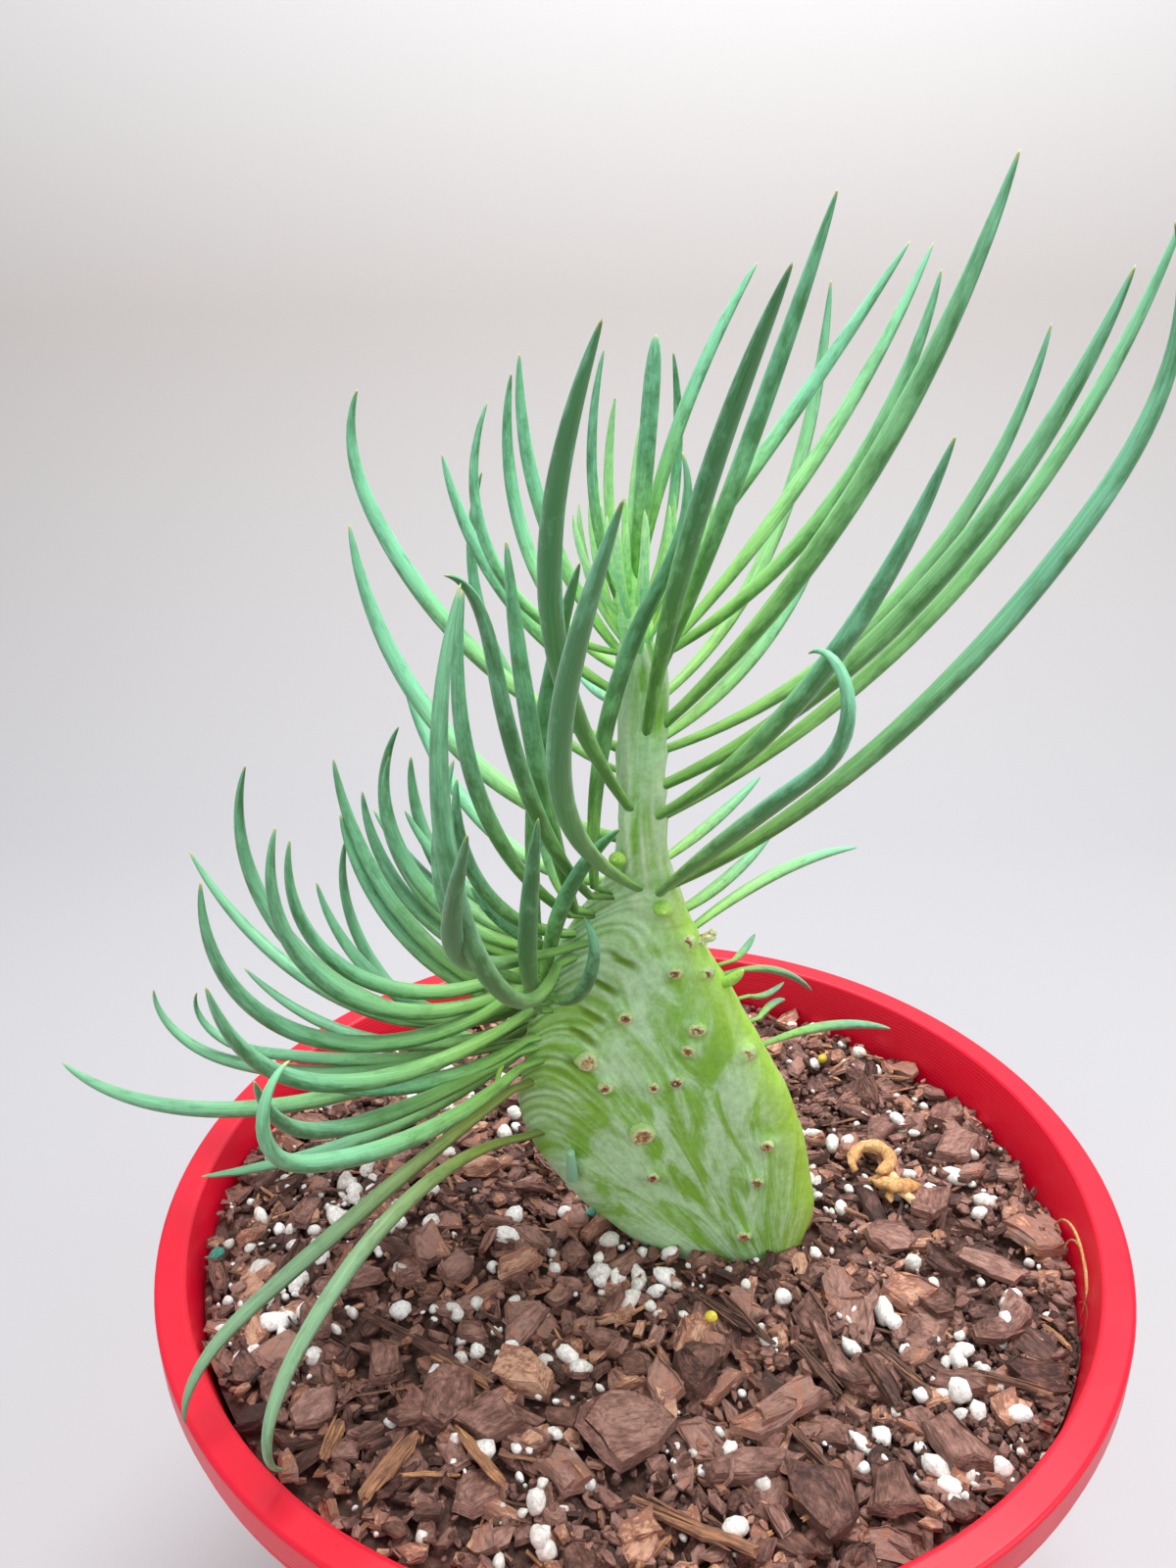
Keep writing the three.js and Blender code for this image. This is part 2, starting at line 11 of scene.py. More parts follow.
import bmesh
import bpy
from bpy.props import FloatProperty, FloatVectorProperty, IntProperty, PointerProperty
from mathutils import Matrix, Vector, noise


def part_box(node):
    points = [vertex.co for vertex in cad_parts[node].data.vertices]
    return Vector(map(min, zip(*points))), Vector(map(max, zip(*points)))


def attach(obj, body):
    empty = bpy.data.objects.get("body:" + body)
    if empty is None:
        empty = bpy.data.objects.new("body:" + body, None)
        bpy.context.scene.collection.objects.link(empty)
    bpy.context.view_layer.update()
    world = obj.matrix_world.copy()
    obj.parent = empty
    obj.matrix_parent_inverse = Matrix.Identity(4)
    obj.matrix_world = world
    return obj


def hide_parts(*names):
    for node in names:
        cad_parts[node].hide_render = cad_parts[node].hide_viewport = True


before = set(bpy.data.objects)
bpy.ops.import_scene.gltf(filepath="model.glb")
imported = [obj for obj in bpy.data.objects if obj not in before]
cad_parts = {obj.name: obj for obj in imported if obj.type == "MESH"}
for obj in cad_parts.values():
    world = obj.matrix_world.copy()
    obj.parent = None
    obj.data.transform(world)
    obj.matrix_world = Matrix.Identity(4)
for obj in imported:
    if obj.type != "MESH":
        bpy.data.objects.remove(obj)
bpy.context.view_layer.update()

bl_info = {
    "name": "Potted Crested Chalk Sticks",
    "version": (1, 0, 0),
    "blender": (4, 5, 0),
    "location": "3D View > Sidebar > Crested Plant",
    "description": "Builds a crested succulent with finger leaves in a red plastic pot",
    "category": "Add Mesh",
}

MM = 0.001

# The pot, measured on the CAD model
RIM_RADIUS, _, POT_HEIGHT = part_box("pot")[1]
RIM_WIDTH = 5.4 * MM
INNER_RIM = RIM_RADIUS - RIM_WIDTH
LIP = 0.8 * MM
BEAD = POT_HEIGHT - 8.4 * MM
# The rim's outline, in millimetres in from its radius and up from the bead
RIM_OUTLINE = ((1.6, 0), (0.8, 0.25), (0.5, 0.8), (0.5, 1.6), (0.8, 2), (1.3, 2.2), (1.2, 2.4),
               (0.2, 2.6), (0, 3), (0, 3.2))
WALL = 2.2 * MM
FOOT_RADIUS = 60 * MM
FOOT_ROUND = 1.5 * MM
FLOOR = 3 * MM
FLOOR_RING = 30 * MM
HOLE_COUNT = 5
HOLE_RADIUS = 4.5 * MM
HOLE_RING = 38 * MM
POT_STEPS = 160
WALL_ROWS = 12
# The wall leans out by this much for each metre up
WALL_SLOPE = (INNER_RIM - FOOT_RADIUS + WALL) / (POT_HEIGHT - FLOOR)
# Turning marks of the mould lie this far apart
MOULD_MARKS = 0.8 * MM

# The mix's top: how far it lies below the rim, its lean down to the right and back, and how far
# its bits stay off the wall
MIX_BELOW_RIM = 9.5 * MM
MIX_SLOPE = 0.04
WALL_GAP = 0.35 * MM

# The plant's broad faces are square to Y about this plane
PLANT_Y = -6 * MM
# Level slices of the stem, from its stalk in the mix to the shoot's top, in millimetres:
# height, left, right, thickness
STEM_SLICES = (
    (-34, 13, 24, 8), (-26, 9.5, 27.5, 10), (-18, 5.5, 30, 11.5), (-10, 0, 32, 12.5),
    (-2, -9, 33.5, 13), (5, -14.5, 32.8, 13), (12.5, -19.5, 31.3, 13), (20, -21.5, 29, 13),
    (28, -21, 26, 12.5), (37, -19.5, 21.5, 12), (45, -17, 17.3, 11), (53, -14, 13, 10),
    (60, -10.5, 9.5, 9), (64.5, -7, 7.8, 8.2), (68, -4.5, 6.5, 7.8), (73, -3, 5.3, 7.4),
    (80, -2.6, 4.8, 7.2), (92, -2.6, 4.6, 7.2), (99, -2.1, 5.1, 7.1), (105, -2.4, 4.4, 6.8),
    (109.5, -2.8, 3.4, 6.2),
)
STEM_ROUNDS = 192
# Rows of the stem's skin, as the share of them up to a height: closest where the leaf bases crowd
STEM_ROWS = 300
ROW_HEIGHTS = ((0, -34), (0.16, 8), (0.86, 72), (1, 109.5))
STEM_SQUARENESS = 0.8
# The foot that the growth lines run down to
STEM_FOOT = (27, -22)
# The crowded leaf bases are this many degrees apart as seen from the foot
RIDGE_SPACING = 1.4
SHOOT_LINE = ((5, 55), (3, 63), (1.5, 72), (1, 80), (1, 92), (1.5, 99), (1, 105), (0.3, 109.5))
# The shoot's bark starts at this height, and its top rounds over from DOME_START up
SHOOT_START, SHOOT_TOP = 60, 109
DOME_START, DOME_RISE = 105, 4.5
TIP_LINE = ((0.2, 109.8), (-0.4, 113), (-1, 118), (-1.2, 122))
CREST_LINE = ((-20, 15), (-21, 21), (-20.5, 28.5), (-18.5, 37), (-16, 45), (-13, 54), (-10, 61),
              (-6, 66))

# Leaves of the upright shoot. Each row gives the height of the root, its bearing (0 is +X and 90
# is +Y), the angle above level at the root and at the tip, the length and width in millimetres,
# and where they aren't 0 the change of bearing and the extra turn near the tip.
SHOOT_LEAVES = (
    (54, 40, 20, -15, 52, 2.4, 5), (59, 45, 0, 30, 30, 2.5), (65, -70, 40, 40, 84, 2.9, 10, 180),
    (66, -120, 35, 55, 108, 3.2, 60), (67, 140, -30, 80, 78, 3), (69, 50, 5, 20, 32, 2.3),
    (66, -40, 35, 70, 126, 3.6, 55, 50), (74, 150, -5, 85, 84, 3.7),
    (78, 10, 25, 75, 124, 3.3, -5), (80, -125, 50, 50, 100, 3.2, 65), (79, -45, 35, 70, 82, 3.4),
    (84, -20, 30, 73, 101, 3.8), (90, 160, 15, 80, 80, 3.4, 0, 40), (86, 150, 5, 115, 64, 2.3),
    (90, 10, 15, 80, 92, 3, -5), (91, 45, 10, 50, 50, 2.8), (93, -75, 65, 45, 84, 3.1, 5),
    (94, -20, 45, 75, 94, 3.7), (98, 50, 15, 85, 88, 2.8, 10), (98, 115, -20, 10, 26, 1.9),
    (99, 170, 25, 80, 50, 2.7), (100, 80, -10, 75, 60, 2.4), (103, 130, 0, 110, 64, 2.7),
    (102, -40, 65, 70, 74, 3), (105, 35, 35, 60, 84, 2.8), (105, 150, 40, 95, 52, 2.7),
    (106, -5, 30, 80, 70, 3), (107, -165, 10, 115, 50, 2.1),
)
# The leaves that point right and back, between these bearings, keep the green of their foot
# farther up
SHADED = (-30, 90)

# Young leaves round the growing tip, in the same way
YOUNG_LEAVES = (
    (111, 190, 65, 105, 42, 1.9), (111, 125, 85, 105, 32, 1.7), (111, 35, 45, 55, 72, 2.8, -20),
    (112, 65, 25, 115, 46, 1.8, 5), (112, 135, 65, 105, 34, 1.8), (112, 120, 35, 95, 28, 1.8),
    (112, 85, 70, 55, 40, 1.6, -10), (112, -155, 40, 85, 20, 1.5), (113, 250, 70, 100, 15, 1.4),
    (115, 35, 80, 50, 54, 2.4), (116, -20, 85, 85, 38, 3),
)
BLUNT_YOUNG_LEAF = 10
GROWN_LENGTH = 36
# The tip's stalk: the height of its foot, how far it rises, and its width
STALK_FOOT, STALK_RISE, STALK_WIDTH = 103, 19, 5.8
# Budding leaves crowd round the tip, each turned by this angle from the last
BUDS = 13
BUD_TURN = 137.5

# Leaves of the crest: how far up the crest's edge the root is, how far behind its middle, and
# then as above from the bearing on
CREST_LEAVES = (
    (2, -5, -125, 30, -45, 82, 2.8, 15, -100), (13, -3, -135, -10, -15, 78, 3, 5, -80),
    (18, -4, -115, 5, 45, 84, 3.2, 0, 140), (18, 3, 165, -25, 10, 80, 2.8, 5, 110),
    (21, -3, 200, -25, 70, 72, 3.2, 75), (21, -3, 185, -40, -5, 68, 2.9),
    (23, -3, 200, -30, 30, 42, 3.2), (24, 3, 170, -40, 20, 94, 3.2, -5, 80),
    (24, 4, 175, -40, 45, 64, 2.6, -10), (25, 3, 150, -5, 85, 68, 3.2, -5),
    (25, 3, 150, -15, 80, 60, 3.3), (28, -3, -95, 45, 65, 66, 3, 25),
    (28, 0, 205, -25, 0, 108, 3.3, -65), (29, 3, 155, -45, 60, 98, 3.3),
    (30, -2, 205, -30, 80, 78, 3.4, 45), (30, -4, -50, 85, 40, 48, 3),
    (31, 3, 165, -50, 115, 98, 3.6), (31, -2, -50, 105, 40, 90, 2.9, -25),
    (32, -3, -60, 10, 95, 32, 2.6, 5, 70), (33, 3, 155, -65, 80, 70, 3.1),
    (34, 3, 155, -20, 90, 56, 3), (34, 3, 145, -85, 115, 92, 3, 5),
    (35, -2, -130, 15, 120, 58, 3.1), (36, 3, 205, -35, 110, 76, 3.4, 5),
    (36, 3, 155, -20, 125, 66, 3), (39, 3, 155, -25, 110, 58, 3, 5),
    (39, 3, 140, -30, 100, 58, 3.2), (37, 4, 145, -10, 45, 52, 2.8, -5),
    (39, 0, 195, -50, 100, 86, 3.4, 30), (40, -3, -95, 0, 120, 104, 3.1, -25),
    (41, 3, 195, -45, 105, 70, 3.1, 15), (41, -3, 200, 25, 65, 22, 2.5),
    (41, 4, 150, -10, 55, 42, 2.6, -5), (43, -5, -125, 15, 60, 82, 3.1, 65),
    (44, -2, 215, 20, 100, 42, 2.8), (46, 4, 120, 0, 130, 26, 2.2, 5),
    (48, -3, 220, 40, 105, 66, 3), (48, -3, -115, 65, 85, 70, 3.1),
    (53, -4, -120, 45, 90, 74, 2.8, 5, -80), (53, -4, -40, 95, 45, 78, 3, 0, 70),
)
# The two lowest hang to the mix at the front left, and have turned greyer
DULL_LEAVES = (0, 1)

# Small leaves on the stem's right edge: the root's x and height, and then as above
EDGE_LEAVES = (
    (17, 50, 65, -15, 10, 12, 1.4), (17.5, 48, 55, -20, -45, 38, 1.7),
    (20, 43, 60, -35, -5, 18, 1.3), (22, 38, 70, -10, -30, 20, 1.5, -5),
    (24, 33, 40, -5, -30, 36, 2.1, -5),
)

# Stubs of young leaves: x, y and height, and then as above
STUBS = ((4.3, -3.4, 63.9, -85, 10, 10, 3.8, 3.3), (13.6, -1, 47, -15, 15, 60, 6.6, 2.3),
         (-22.5, -3.5, 35, -120, -20, -85, 8, 1), (-2.5, -3, 72.5, -110, 20, 20, 3.2, 3))
# The stub of a cut leaf: x, y and height of its middle
CUT_STUB = (-11.9, -7.2, 12.7)
# The woody stub on the right edge: x, height and radius of its lumps
WOODY_STUB = ((11, 56, 1.1), (12.1, 56.6, 1), (13.2, 57.3, 0.7))

# Scars of fallen leaves on the stem's faces: x and height, and in SCARS the face between them,
# which is -1 at the front
FRONT_SCARS = (
    (4.3, 63.5), (6.5, 52), (-2, 43.5), (10.5, 41), (9, 37), (19.5, 35), (3, 29.5), (7, 30.5),
    (-5.5, 29), (1, 19.5), (23.5, 16), (22, 8.5), (3, 10), (20, -3.5), (8.8, 57), (12, 51),
    (-8.5, 34.5),
)
BACK_SCARS = ((5, 58), (10, 46), (1, 40), (15, 33), (-6, 31), (8, 24), (22, 20), (-1, 14),
              (16, 8), (27, 1))
SCARS = [(x, -1, z) for x, z in FRONT_SCARS] + [(x, 1, z) for x, z in BACK_SCARS]
# The oval scar and the crusted one are larger than the rest
WIDE_SCARS = {(1, 19.5): 1.35, (-8.5, 34.5): 1.2}
SCAR_RADIUS = 1.7
SCAR_HEIGHT = 1.25
SCAR_SPREAD = 1.55
SCAR_SEED = 12
# A scar's outline, as shares of its radius and in millimetres of height
SCAR_OUTLINE = ((0, -0.05), (0.22, -0.03), (0.42, 0.06), (0.58, 0.1), (0.75, 0),
                (0.92, -0.28), (1.08, -0.65), (1.12, -1.1), (0, -1.1))
# Clear yellow-green recesses between the leaf bases: x and height
LENSES = ((-2, 54), (-5.2, 49), (-7.5, 43), (-9.4, 39), (-10.3, 33))

LEAF_SIDES = 16
LEAF_RINGS = 40
LEAF_FLATNESS = 0.86
LEAF_FOOT = 0.54
LEAF_BELLY = 0.46
LEAF_POINT = 2.2
BLUNT_POINT = 6
PATH_STEPS = 80
HOOK_START = 0.7
DRY_POINT = "#B4C27C"

# Large chips that catch the eye: x, y, length, width, turn and thickness in millimetres and
# degrees, and the tone from dark to tan
MARKED_CHIPS = (
    (-1.6, -53, 15, 13, 20, 3.4, 0.55), (10, -41, 11, 8, 80, 4, 0.1),
    (9, -34, 10, 6.5, 75, 2.6, 0.93), (48.6, -22, 11, 8, -10, 2.4, 0.9),
    (53, -23, 9, 8, 30, 3, 0.2), (27.7, -64, 14, 9.5, 120, 2.8, 0.2),
    (17, -59, 17, 5, 12, 2.6, 0.45), (49.8, -53, 10, 7, 110, 2.2, 0.35),
    (-18.7, -42.7, 10, 7, 160, 2.2, 0.92), (-50.9, -51.4, 9, 6, 50, 2, 0.5),
    (-23.4, -52, 10, 8, 30, 2.2, 0.4), (-42, -41.4, 9, 6.5, 100, 2, 0.3),
    (68, 20, 13, 8, 30, 2.4, 0.5), (4, -44, 8.5, 6.5, 100, 1.8, 0.7),
    (24, -47, 15, 5, 35, 2.4, 0.65), (-11, -60, 9, 7, 140, 2, 0.6), (58, 2, 11, 8, 75, 2.2, 0.45),
    (62, -30, 10, 7, 10, 2, 0.3), (38, -62, 11, 8, 80, 2.2, 0.25), (20, -51, 13, 5, 25, 2.2, 0.72),
    (-30, -48, 11, 8, 95, 2, 0.35), (66, -14, 14, 5, -30, 1.8, 0.55), (-33, -20, 9, 6, 60, 2, 0.6),
    (-56, -34, 10, 7, 130, 2, 0.4), (40, -42, 12, 4, -60, 2.4, 0.15),
    (33, -38, 13, 4, -65, 2, 0.3),
)
# Torn strips that catch the eye: x, y, length, width and turn, and the tone
MARKED_STRIPS = (
    (-38, -37, 24, 1.6, -30, 0.3), (-29, -43, 13, 2, -32, 0.6), (-37.2, -61, 15, 3, 60, 0.7),
    (-24.4, -58.7, 15, 2, -50, 0.75), (8, -69, 21, 2.3, -24, 0.6), (30, -40, 14, 2, -60, 0.15),
    (44, -40, 13, 2.2, -52, 0.3), (60, -41, 17, 1.2, -18, 0.5), (-47, -57, 8, 2.2, 80, 0.7),
    (27, -56, 12, 1.6, -55, 0.35), (14, -28, 16, 1.6, -40, 0.1), (19, -30, 15, 1.6, -55, 0.2),
)
CRUMBS = 3400
# A third of the crumbs heap up here: x, y and spread
CRUMB_HEAP = (62, -44, 9)
STRIPS = 330
FIBRES = 4
# Spots where perlite crowds, and how far it spreads round them
NEST_SPREAD = 4.6
PERLITE_NESTS = (
    (-62, -28), (-66, -8), (-52, -12), (-58, 2), (-5, -20), (5, -22), (-27, -37), (52, -48),
    (56, -36), (46, -58), (30, 12), (38, 4), (-15, -64), (-20, -57), (-62, -38), (-66, -18),
    (58, 30), (50, -54), (-56, -4), (10, -56),
)
# The curled dry leaf's pieces: x, y and height, and then as a leaf's row
DRIED_LEAF = ((45, 10, 0, 120, 20, -10, 20, 3, -300), (48, 7, 0, -60, 30, -60, 13, 3.4, 150),
              (52, 12, 0, -100, 10, -20, 13, 2.2, 60), (50, 3, -1, 30, 20, -20, 9, 2.6, 200))
# The root fibre's strands at the wall: y, the angle above level at both ends, length and width
ROOT_X, ROOT_BEARING, ROOT_SWING = 80.9, -88, -12
ROOT_FIBRE = ((-3, 72, -75, 30, 0.6), (-9, 85, -60, 20, 0.45), (-22, 60, -40, 12, 0.35))

# The backdrop, in metres: its front end, its wall and top, its bend and its width
SWEEP_FRONT, SWEEP_BACK, SWEEP_TOP, SWEEP_BEND, SWEEP_WIDTH = -1.6, 0.75, 1.6, 0.3, 5
# Soft lights: place, width, and power as a share of the top one's
LIGHTS = {"top_softbox": ((0.12, 0.2, 1.08), 0.6, 1),
          "side_softbox": ((0.9, -0.45, 0.75), 0.7, 0.26),
          "front_softbox": ((-0.5, -1, 0.8), 0.8, 0.32)}
LIGHT_AIM = Vector((0, 0, 0.2))
CAMERA_PLACE = (0, -0.1856, POT_HEIGHT + 0.1574)
CAMERA_RIGHT = Vector((0.99918, 0.03631, -0.01784))
CAMERA_UP = Vector((0.00291, 0.37542, 0.92685))


def linear(hex_colour):
    """Turns an sRGB hex colour to linear red, green, blue and full alpha."""
    channels = [int(hex_colour[i:i + 2], 16) / 255 for i in (1, 3, 5)]
    return (*[c / 12.92 if c <= 0.04045 else ((c + 0.055) / 1.055) ** 2.4 for c in channels], 1)


def tint(name, description, hex_colour):
    """A colour that the user may change."""
    return FloatVectorProperty(name=name, description=description, size=4, min=0, max=1,
                               subtype="COLOR", default=linear(hex_colour))


class PotSettings(bpy.types.PropertyGroup):
    colour: tint("Colour", "Colour of the pot's plastic", "#DC032B")
    gloss: FloatProperty(
        name="Roughness", description="How much the plastic blurs what it mirrors",
        default=0.3, min=0.05, max=1, subtype="FACTOR")


class PlantSettings(bpy.types.PropertyGroup):
    leaf: tint("Leaf", "Blue-green of a grown leaf under its bloom", "#82CCA2")
    leaf_base: tint("Leaf Base", "Yellow-green at a leaf's foot", "#9AD272")
    # The same deep green is also painted on the leaves' downward faces as shade
    rubbed: tint("Rubbed Leaf", "Deep green where the bloom is rubbed off", "#2A6418")
    young: tint("Young Leaf", "Bright green of the leaves round the growing tip", "#CAFAB0")
    flesh: tint("Stem", "Yellow-green of the stem's bare skin", "#80BA38")
    bloom: tint("Bloom", "Whitish wax on the stem", "#C2EABE")


class MixSettings(bpy.types.PropertyGroup):
    big_chips: IntProperty(
        name="Large Chips", description="Number of large bark chips", default=470, min=10,
        max=1500)
    small_chips: IntProperty(
        name="Small Chips", description="Number of small bark chips", default=3900, min=10,
        max=6000)
    grains: IntProperty(
        name="Perlite Grains", description="Number of perlite grains", default=760, min=0,
        max=2000)
    seed: IntProperty(name="Seed", description="Changes how the mix lies", default=4, min=0)


class StageSettings(bpy.types.PropertyGroup):
    lens: FloatProperty(
        name="Focal Length", description="The camera's focal length", default=36, min=10,
        max=200, unit="CAMERA")
    strength: FloatProperty(
        name="Top Light", description="Power of the light above", default=11.5, min=0,
        max=500, unit="POWER")


# Materials

def feed(node, inputs):
    """Sets a node's inputs, or links them to a socket or to the first output of a node."""
    for name, value in inputs.items():
        if isinstance(value, bpy.types.Node):
            value = next(socket for socket in value.outputs if socket.enabled)
        if isinstance(value, bpy.types.NodeSocket):
            node.id_data.links.new(value, node.inputs[name])
        else:
            node.inputs[name].default_value = value


def add_node(tree, kind, inputs=None, stops=(), **settings):
    """Adds a node, sets its properties, its inputs and its colour stops."""
    node = tree.nodes.new("ShaderNode" + kind)
    for name, value in settings.items():
        setattr(node, name, value)
    feed(node, inputs or {})
    ramp = node.color_ramp.elements if stops else ()
    while len(ramp) < len(stops):
        ramp.new(0.5)
    for element, (place, colour) in zip(ramp, stops):
        element.position = place
        element.color = linear(colour) if isinstance(colour, str) else colour
    return node


def new_material(name):
    """A material, a function that adds a node to it, and its shader."""
    material = bpy.data.materials.new(name)
    material.use_nodes = True
    tree = material.node_tree
    return material, partial(add_node, tree), tree.nodes["Principled BSDF"]


def pot_plastic(settings):
    """Injection-moulded polypropylene: an even, slightly see-through red with a soft gloss."""
    material, add, shader = new_material("moulded_red_polypropylene")
    place = add("TexCoord").outputs["Object"]
    # Faint smears of dust and handling, some 15 mm across
    smear = add("TexNoise", {"Vector": place, "Scale": 70, "Detail": 4, "Roughness": 0.65})
    rough = add("MapRange", {"Value": smear, "To Min": settings.gloss - 0.06,
                             "To Max": settings.gloss + 0.16})
    # Turning marks of the mould run round the wall
    lift = add("SeparateXYZ", {"Vector": place}).outputs["Z"]
    turns = add("Math", {0: lift, 1: 2 * math.pi / MOULD_MARKS}, operation="MULTIPLY")
    rings = add("Math", {0: turns}, operation="SINE")
    bump = add("Bump", {"Strength": 0.25, "Distance": 0.05 * MM, "Height": rings})
    feed(shader, {"Base Color": settings.colour, "Roughness": rough, "Normal": bump,
                  "IOR": 1.49, "Subsurface Weight": 0.15,
                  "Subsurface Radius": (0.004, 0.0006, 0.0006)})
    return material


def leaf_skin(name, leaf, foot, rubbed, tip=linear(DRY_POINT), grown=0.62):
    """Living leaf skin under a thin bloom of wax: soft sheen, light that comes through it, deep
    green where the wax is rubbed off, the same deep green painted on the faces that point down
    as shade, and a yellowish point. The foot's colour turns to the leaf's up to the share of its
    length that is given."""
    material, add, shader = new_material(name)
    along = add("UVMap", uv_map="leaf")
    number = add("Attribute", attribute_name="leaf_number").outputs["Fac"]
    # Each leaf reads its own stretch of the patterns
    spot = add("VectorMath", {0: along, 1: add("CombineXYZ", {"Z": number})})
    own = add("TexWhiteNoise", {"W": number}, noise_dimensions="1D")
    up = add("SeparateXYZ", {"Vector": along}).outputs["Y"]
    length = add("ValToRGB", {"Fac": up}, (
        (0, foot), (0.18, foot), (grown, leaf), (0.98, leaf), (0.992, tip)))
    # Rubbed patches a few millimetres long
    stretch = add("Mapping", {"Vector": spot, "Scale": (2.4, 9, 1)})
    patches = add("TexNoise", {"Vector": stretch, "Scale": 1.6, "Detail": 6,
                               "Roughness": 0.68})
    # Painted shade: faces that point down take more of the deep green, as if in shadow
    facing = add("SeparateXYZ", {"Vector": add("NewGeometry").outputs["Normal"]})
    under = add("MapRange", {"Value": facing.outputs["Z"], "From Min": -0.8, "From Max": 0.35,
                             "To Min": 0.48, "To Max": 0.06})
    # Rubbed patches of real wear, with the painted shade of the downward faces added
    thin = add("Math", {0: patches, 1: 0.78, 2: under}, operation="MULTIPLY_ADD")
    wear_and_shade = add("MapRange", {"Value": thin, "From Min": 0.46, "From Max": 0.74, "To Max": 0.8})
    # Fine veins along the leaf, 0.4 mm apart
    fine = add("Mapping", {"Vector": spot, "Scale": (26, 9, 1)})
    veins = add("TexNoise", {"Vector": fine, "Scale": 1, "Detail": 3})
    skin = add("Mix", {"Factor": wear_and_shade, "A": length, "B": rubbed}, data_type="RGBA")
    shade = add("Math", {0: veins, 1: 0.85, 2: 0.5}, operation="MULTIPLY_ADD")
    value = add("Math", {0: own, 1: 0.22, 2: shade}, operation="MULTIPLY_ADD")
    feed(shader, {
        "Base Color": add("HueSaturation", {"Color": skin, "Value": value}),
        "Roughness": add("MapRange", {"Value": wear_and_shade, "To Min": 0.45, "To Max": 0.3}),
        "Normal": add("Bump", {"Strength": 0.35, "Distance": 0.12 * MM, "Height": veins}),
        "Subsurface Weight": 0.22, "Subsurface Radius": (0.0012, 0.0024, 0.0006),
        "IOR": 1.4, "Sheen Weight": 0.12})
    return material


def stem_skin(settings):
    """Fleshy stem: yellow-green skin with whitish wax in streaks that follow its growth, painted
    shade of deeper green in the hollows between the crowded leaf bases, and painted light along
    the right edge."""
    material, add, shader = new_material("waxy_succulent_stem")
    flow = add("UVMap", uv_map="flow")
    # Streaks some 3 mm wide and 12 mm long
    stretch = add("Mapping", {"Vector": flow, "Scale": (0.17, 0.06, 1)})
    wander = add("TexNoise", {"Vector": stretch, "Scale": 1, "Detail": 6, "Roughness": 0.62,
                              "Distortion": 1.1})
    wax = add("MapRange", {"Value": wander, "From Min": 0.37, "From Max": 0.61, "To Min": 0.05,
                           "To Max": 0.88}, interpolation_type="SMOOTHSTEP")
    # Fine lines about a millimetre apart that run with the streaks
    thread = add("Mapping", {"Vector": flow, "Scale": (0.9, 0.05, 1)})
    lines = add("TexNoise", {"Vector": thread, "Scale": 1, "Detail": 4, "Roughness": 0.6})
    # Specks of wax under a millimetre
    specks = add("TexNoise", {"Vector": add("TexCoord").outputs["Object"], "Scale": 900,
                              "Detail": 4, "Roughness": 0.7})
    skin = add("Mix", {"Factor": wax, "A": settings.flesh, "B": settings.bloom},
               data_type="RGBA")
    # Painted light: brighter yellow-green at the right edge. Paler on the ridges. Painted shade:
    # deeper green in the hollows beside the ridges, which the lenses take as their own
    # yellow-green
    for name, colour in (("edge", "#ACDA48"), ("ridge", "#D3E8C6"), ("groove_shade_and_lens", "#668F1E")):
        share = add("Attribute", attribute_name=name).outputs["Fac"]
        skin = add("Mix", {"Factor": share, "A": skin, "B": linear(colour)}, data_type="RGBA")
    dust = add("Math", {0: specks, 1: 0.6, 2: 0.5}, operation="MULTIPLY_ADD")
    value = add("Math", {0: lines, 1: 0.32, 2: dust}, operation="MULTIPLY_ADD")
    feed(shader, {
        "Base Color": add("HueSaturation", {"Color": skin, "Value": value}),
        "Roughness": add("MapRange", {"Value": wax, "To Min": 0.38, "To Max": 0.6}),
        "Normal": add("Bump", {"Strength": 0.45, "Distance": 0.3 * MM, "Height": lines}),
        "Subsurface Weight": 0.18, "Subsurface Radius": (0.003, 0.0045, 0.0012), "IOR": 1.4})
    return material


def dry_matter(name, stops, grain, rough, bump_depth, stretch=(1, 1, 1)):
    """Dry plant matter and minerals: no sheen, a tone for each bit, and grains or fibres of a
    given size that follow the bit."""
    material, add, shader = new_material(name)
    own = add("Attribute", attribute_name="grain").outputs["Vector"]
    tone = add("Attribute", attribute_name="tone").outputs["Fac"]
    turned = add("Mapping", {"Vector": own, "Scale": stretch})
    grains = add("TexNoise", {"Vector": turned, "Scale": 1 / grain, "Detail": 6,
                              "Roughness": 0.65, "Distortion": 0.4})
    # Broader patches, five grains across
    patches = add("TexNoise", {"Vector": own, "Scale": 0.2 / grain, "Detail": 4})
    mottle = add("Math", {0: grains, 1: patches})
    spread = add("Math", {0: mottle, 1: 0.95, 2: -0.93}, operation="MULTIPLY_ADD")
    pick = add("Math", {0: tone, 1: 0.92, 2: spread}, operation="MULTIPLY_ADD", use_clamp=True)
    shade = add("Math", {0: grains, 1: 1.5, 2: 0.28}, operation="MULTIPLY_ADD")
    tinted = add("HueSaturation", {"Color": add("ValToRGB", {"Fac": pick}, stops),
                                   "Value": shade})
    bump = add("Bump", {"Strength": 0.9, "Distance": bump_depth, "Height": grains})
    feed(shader, {"Base Color": tinted, "Normal": bump, "Roughness": rough})
    return material


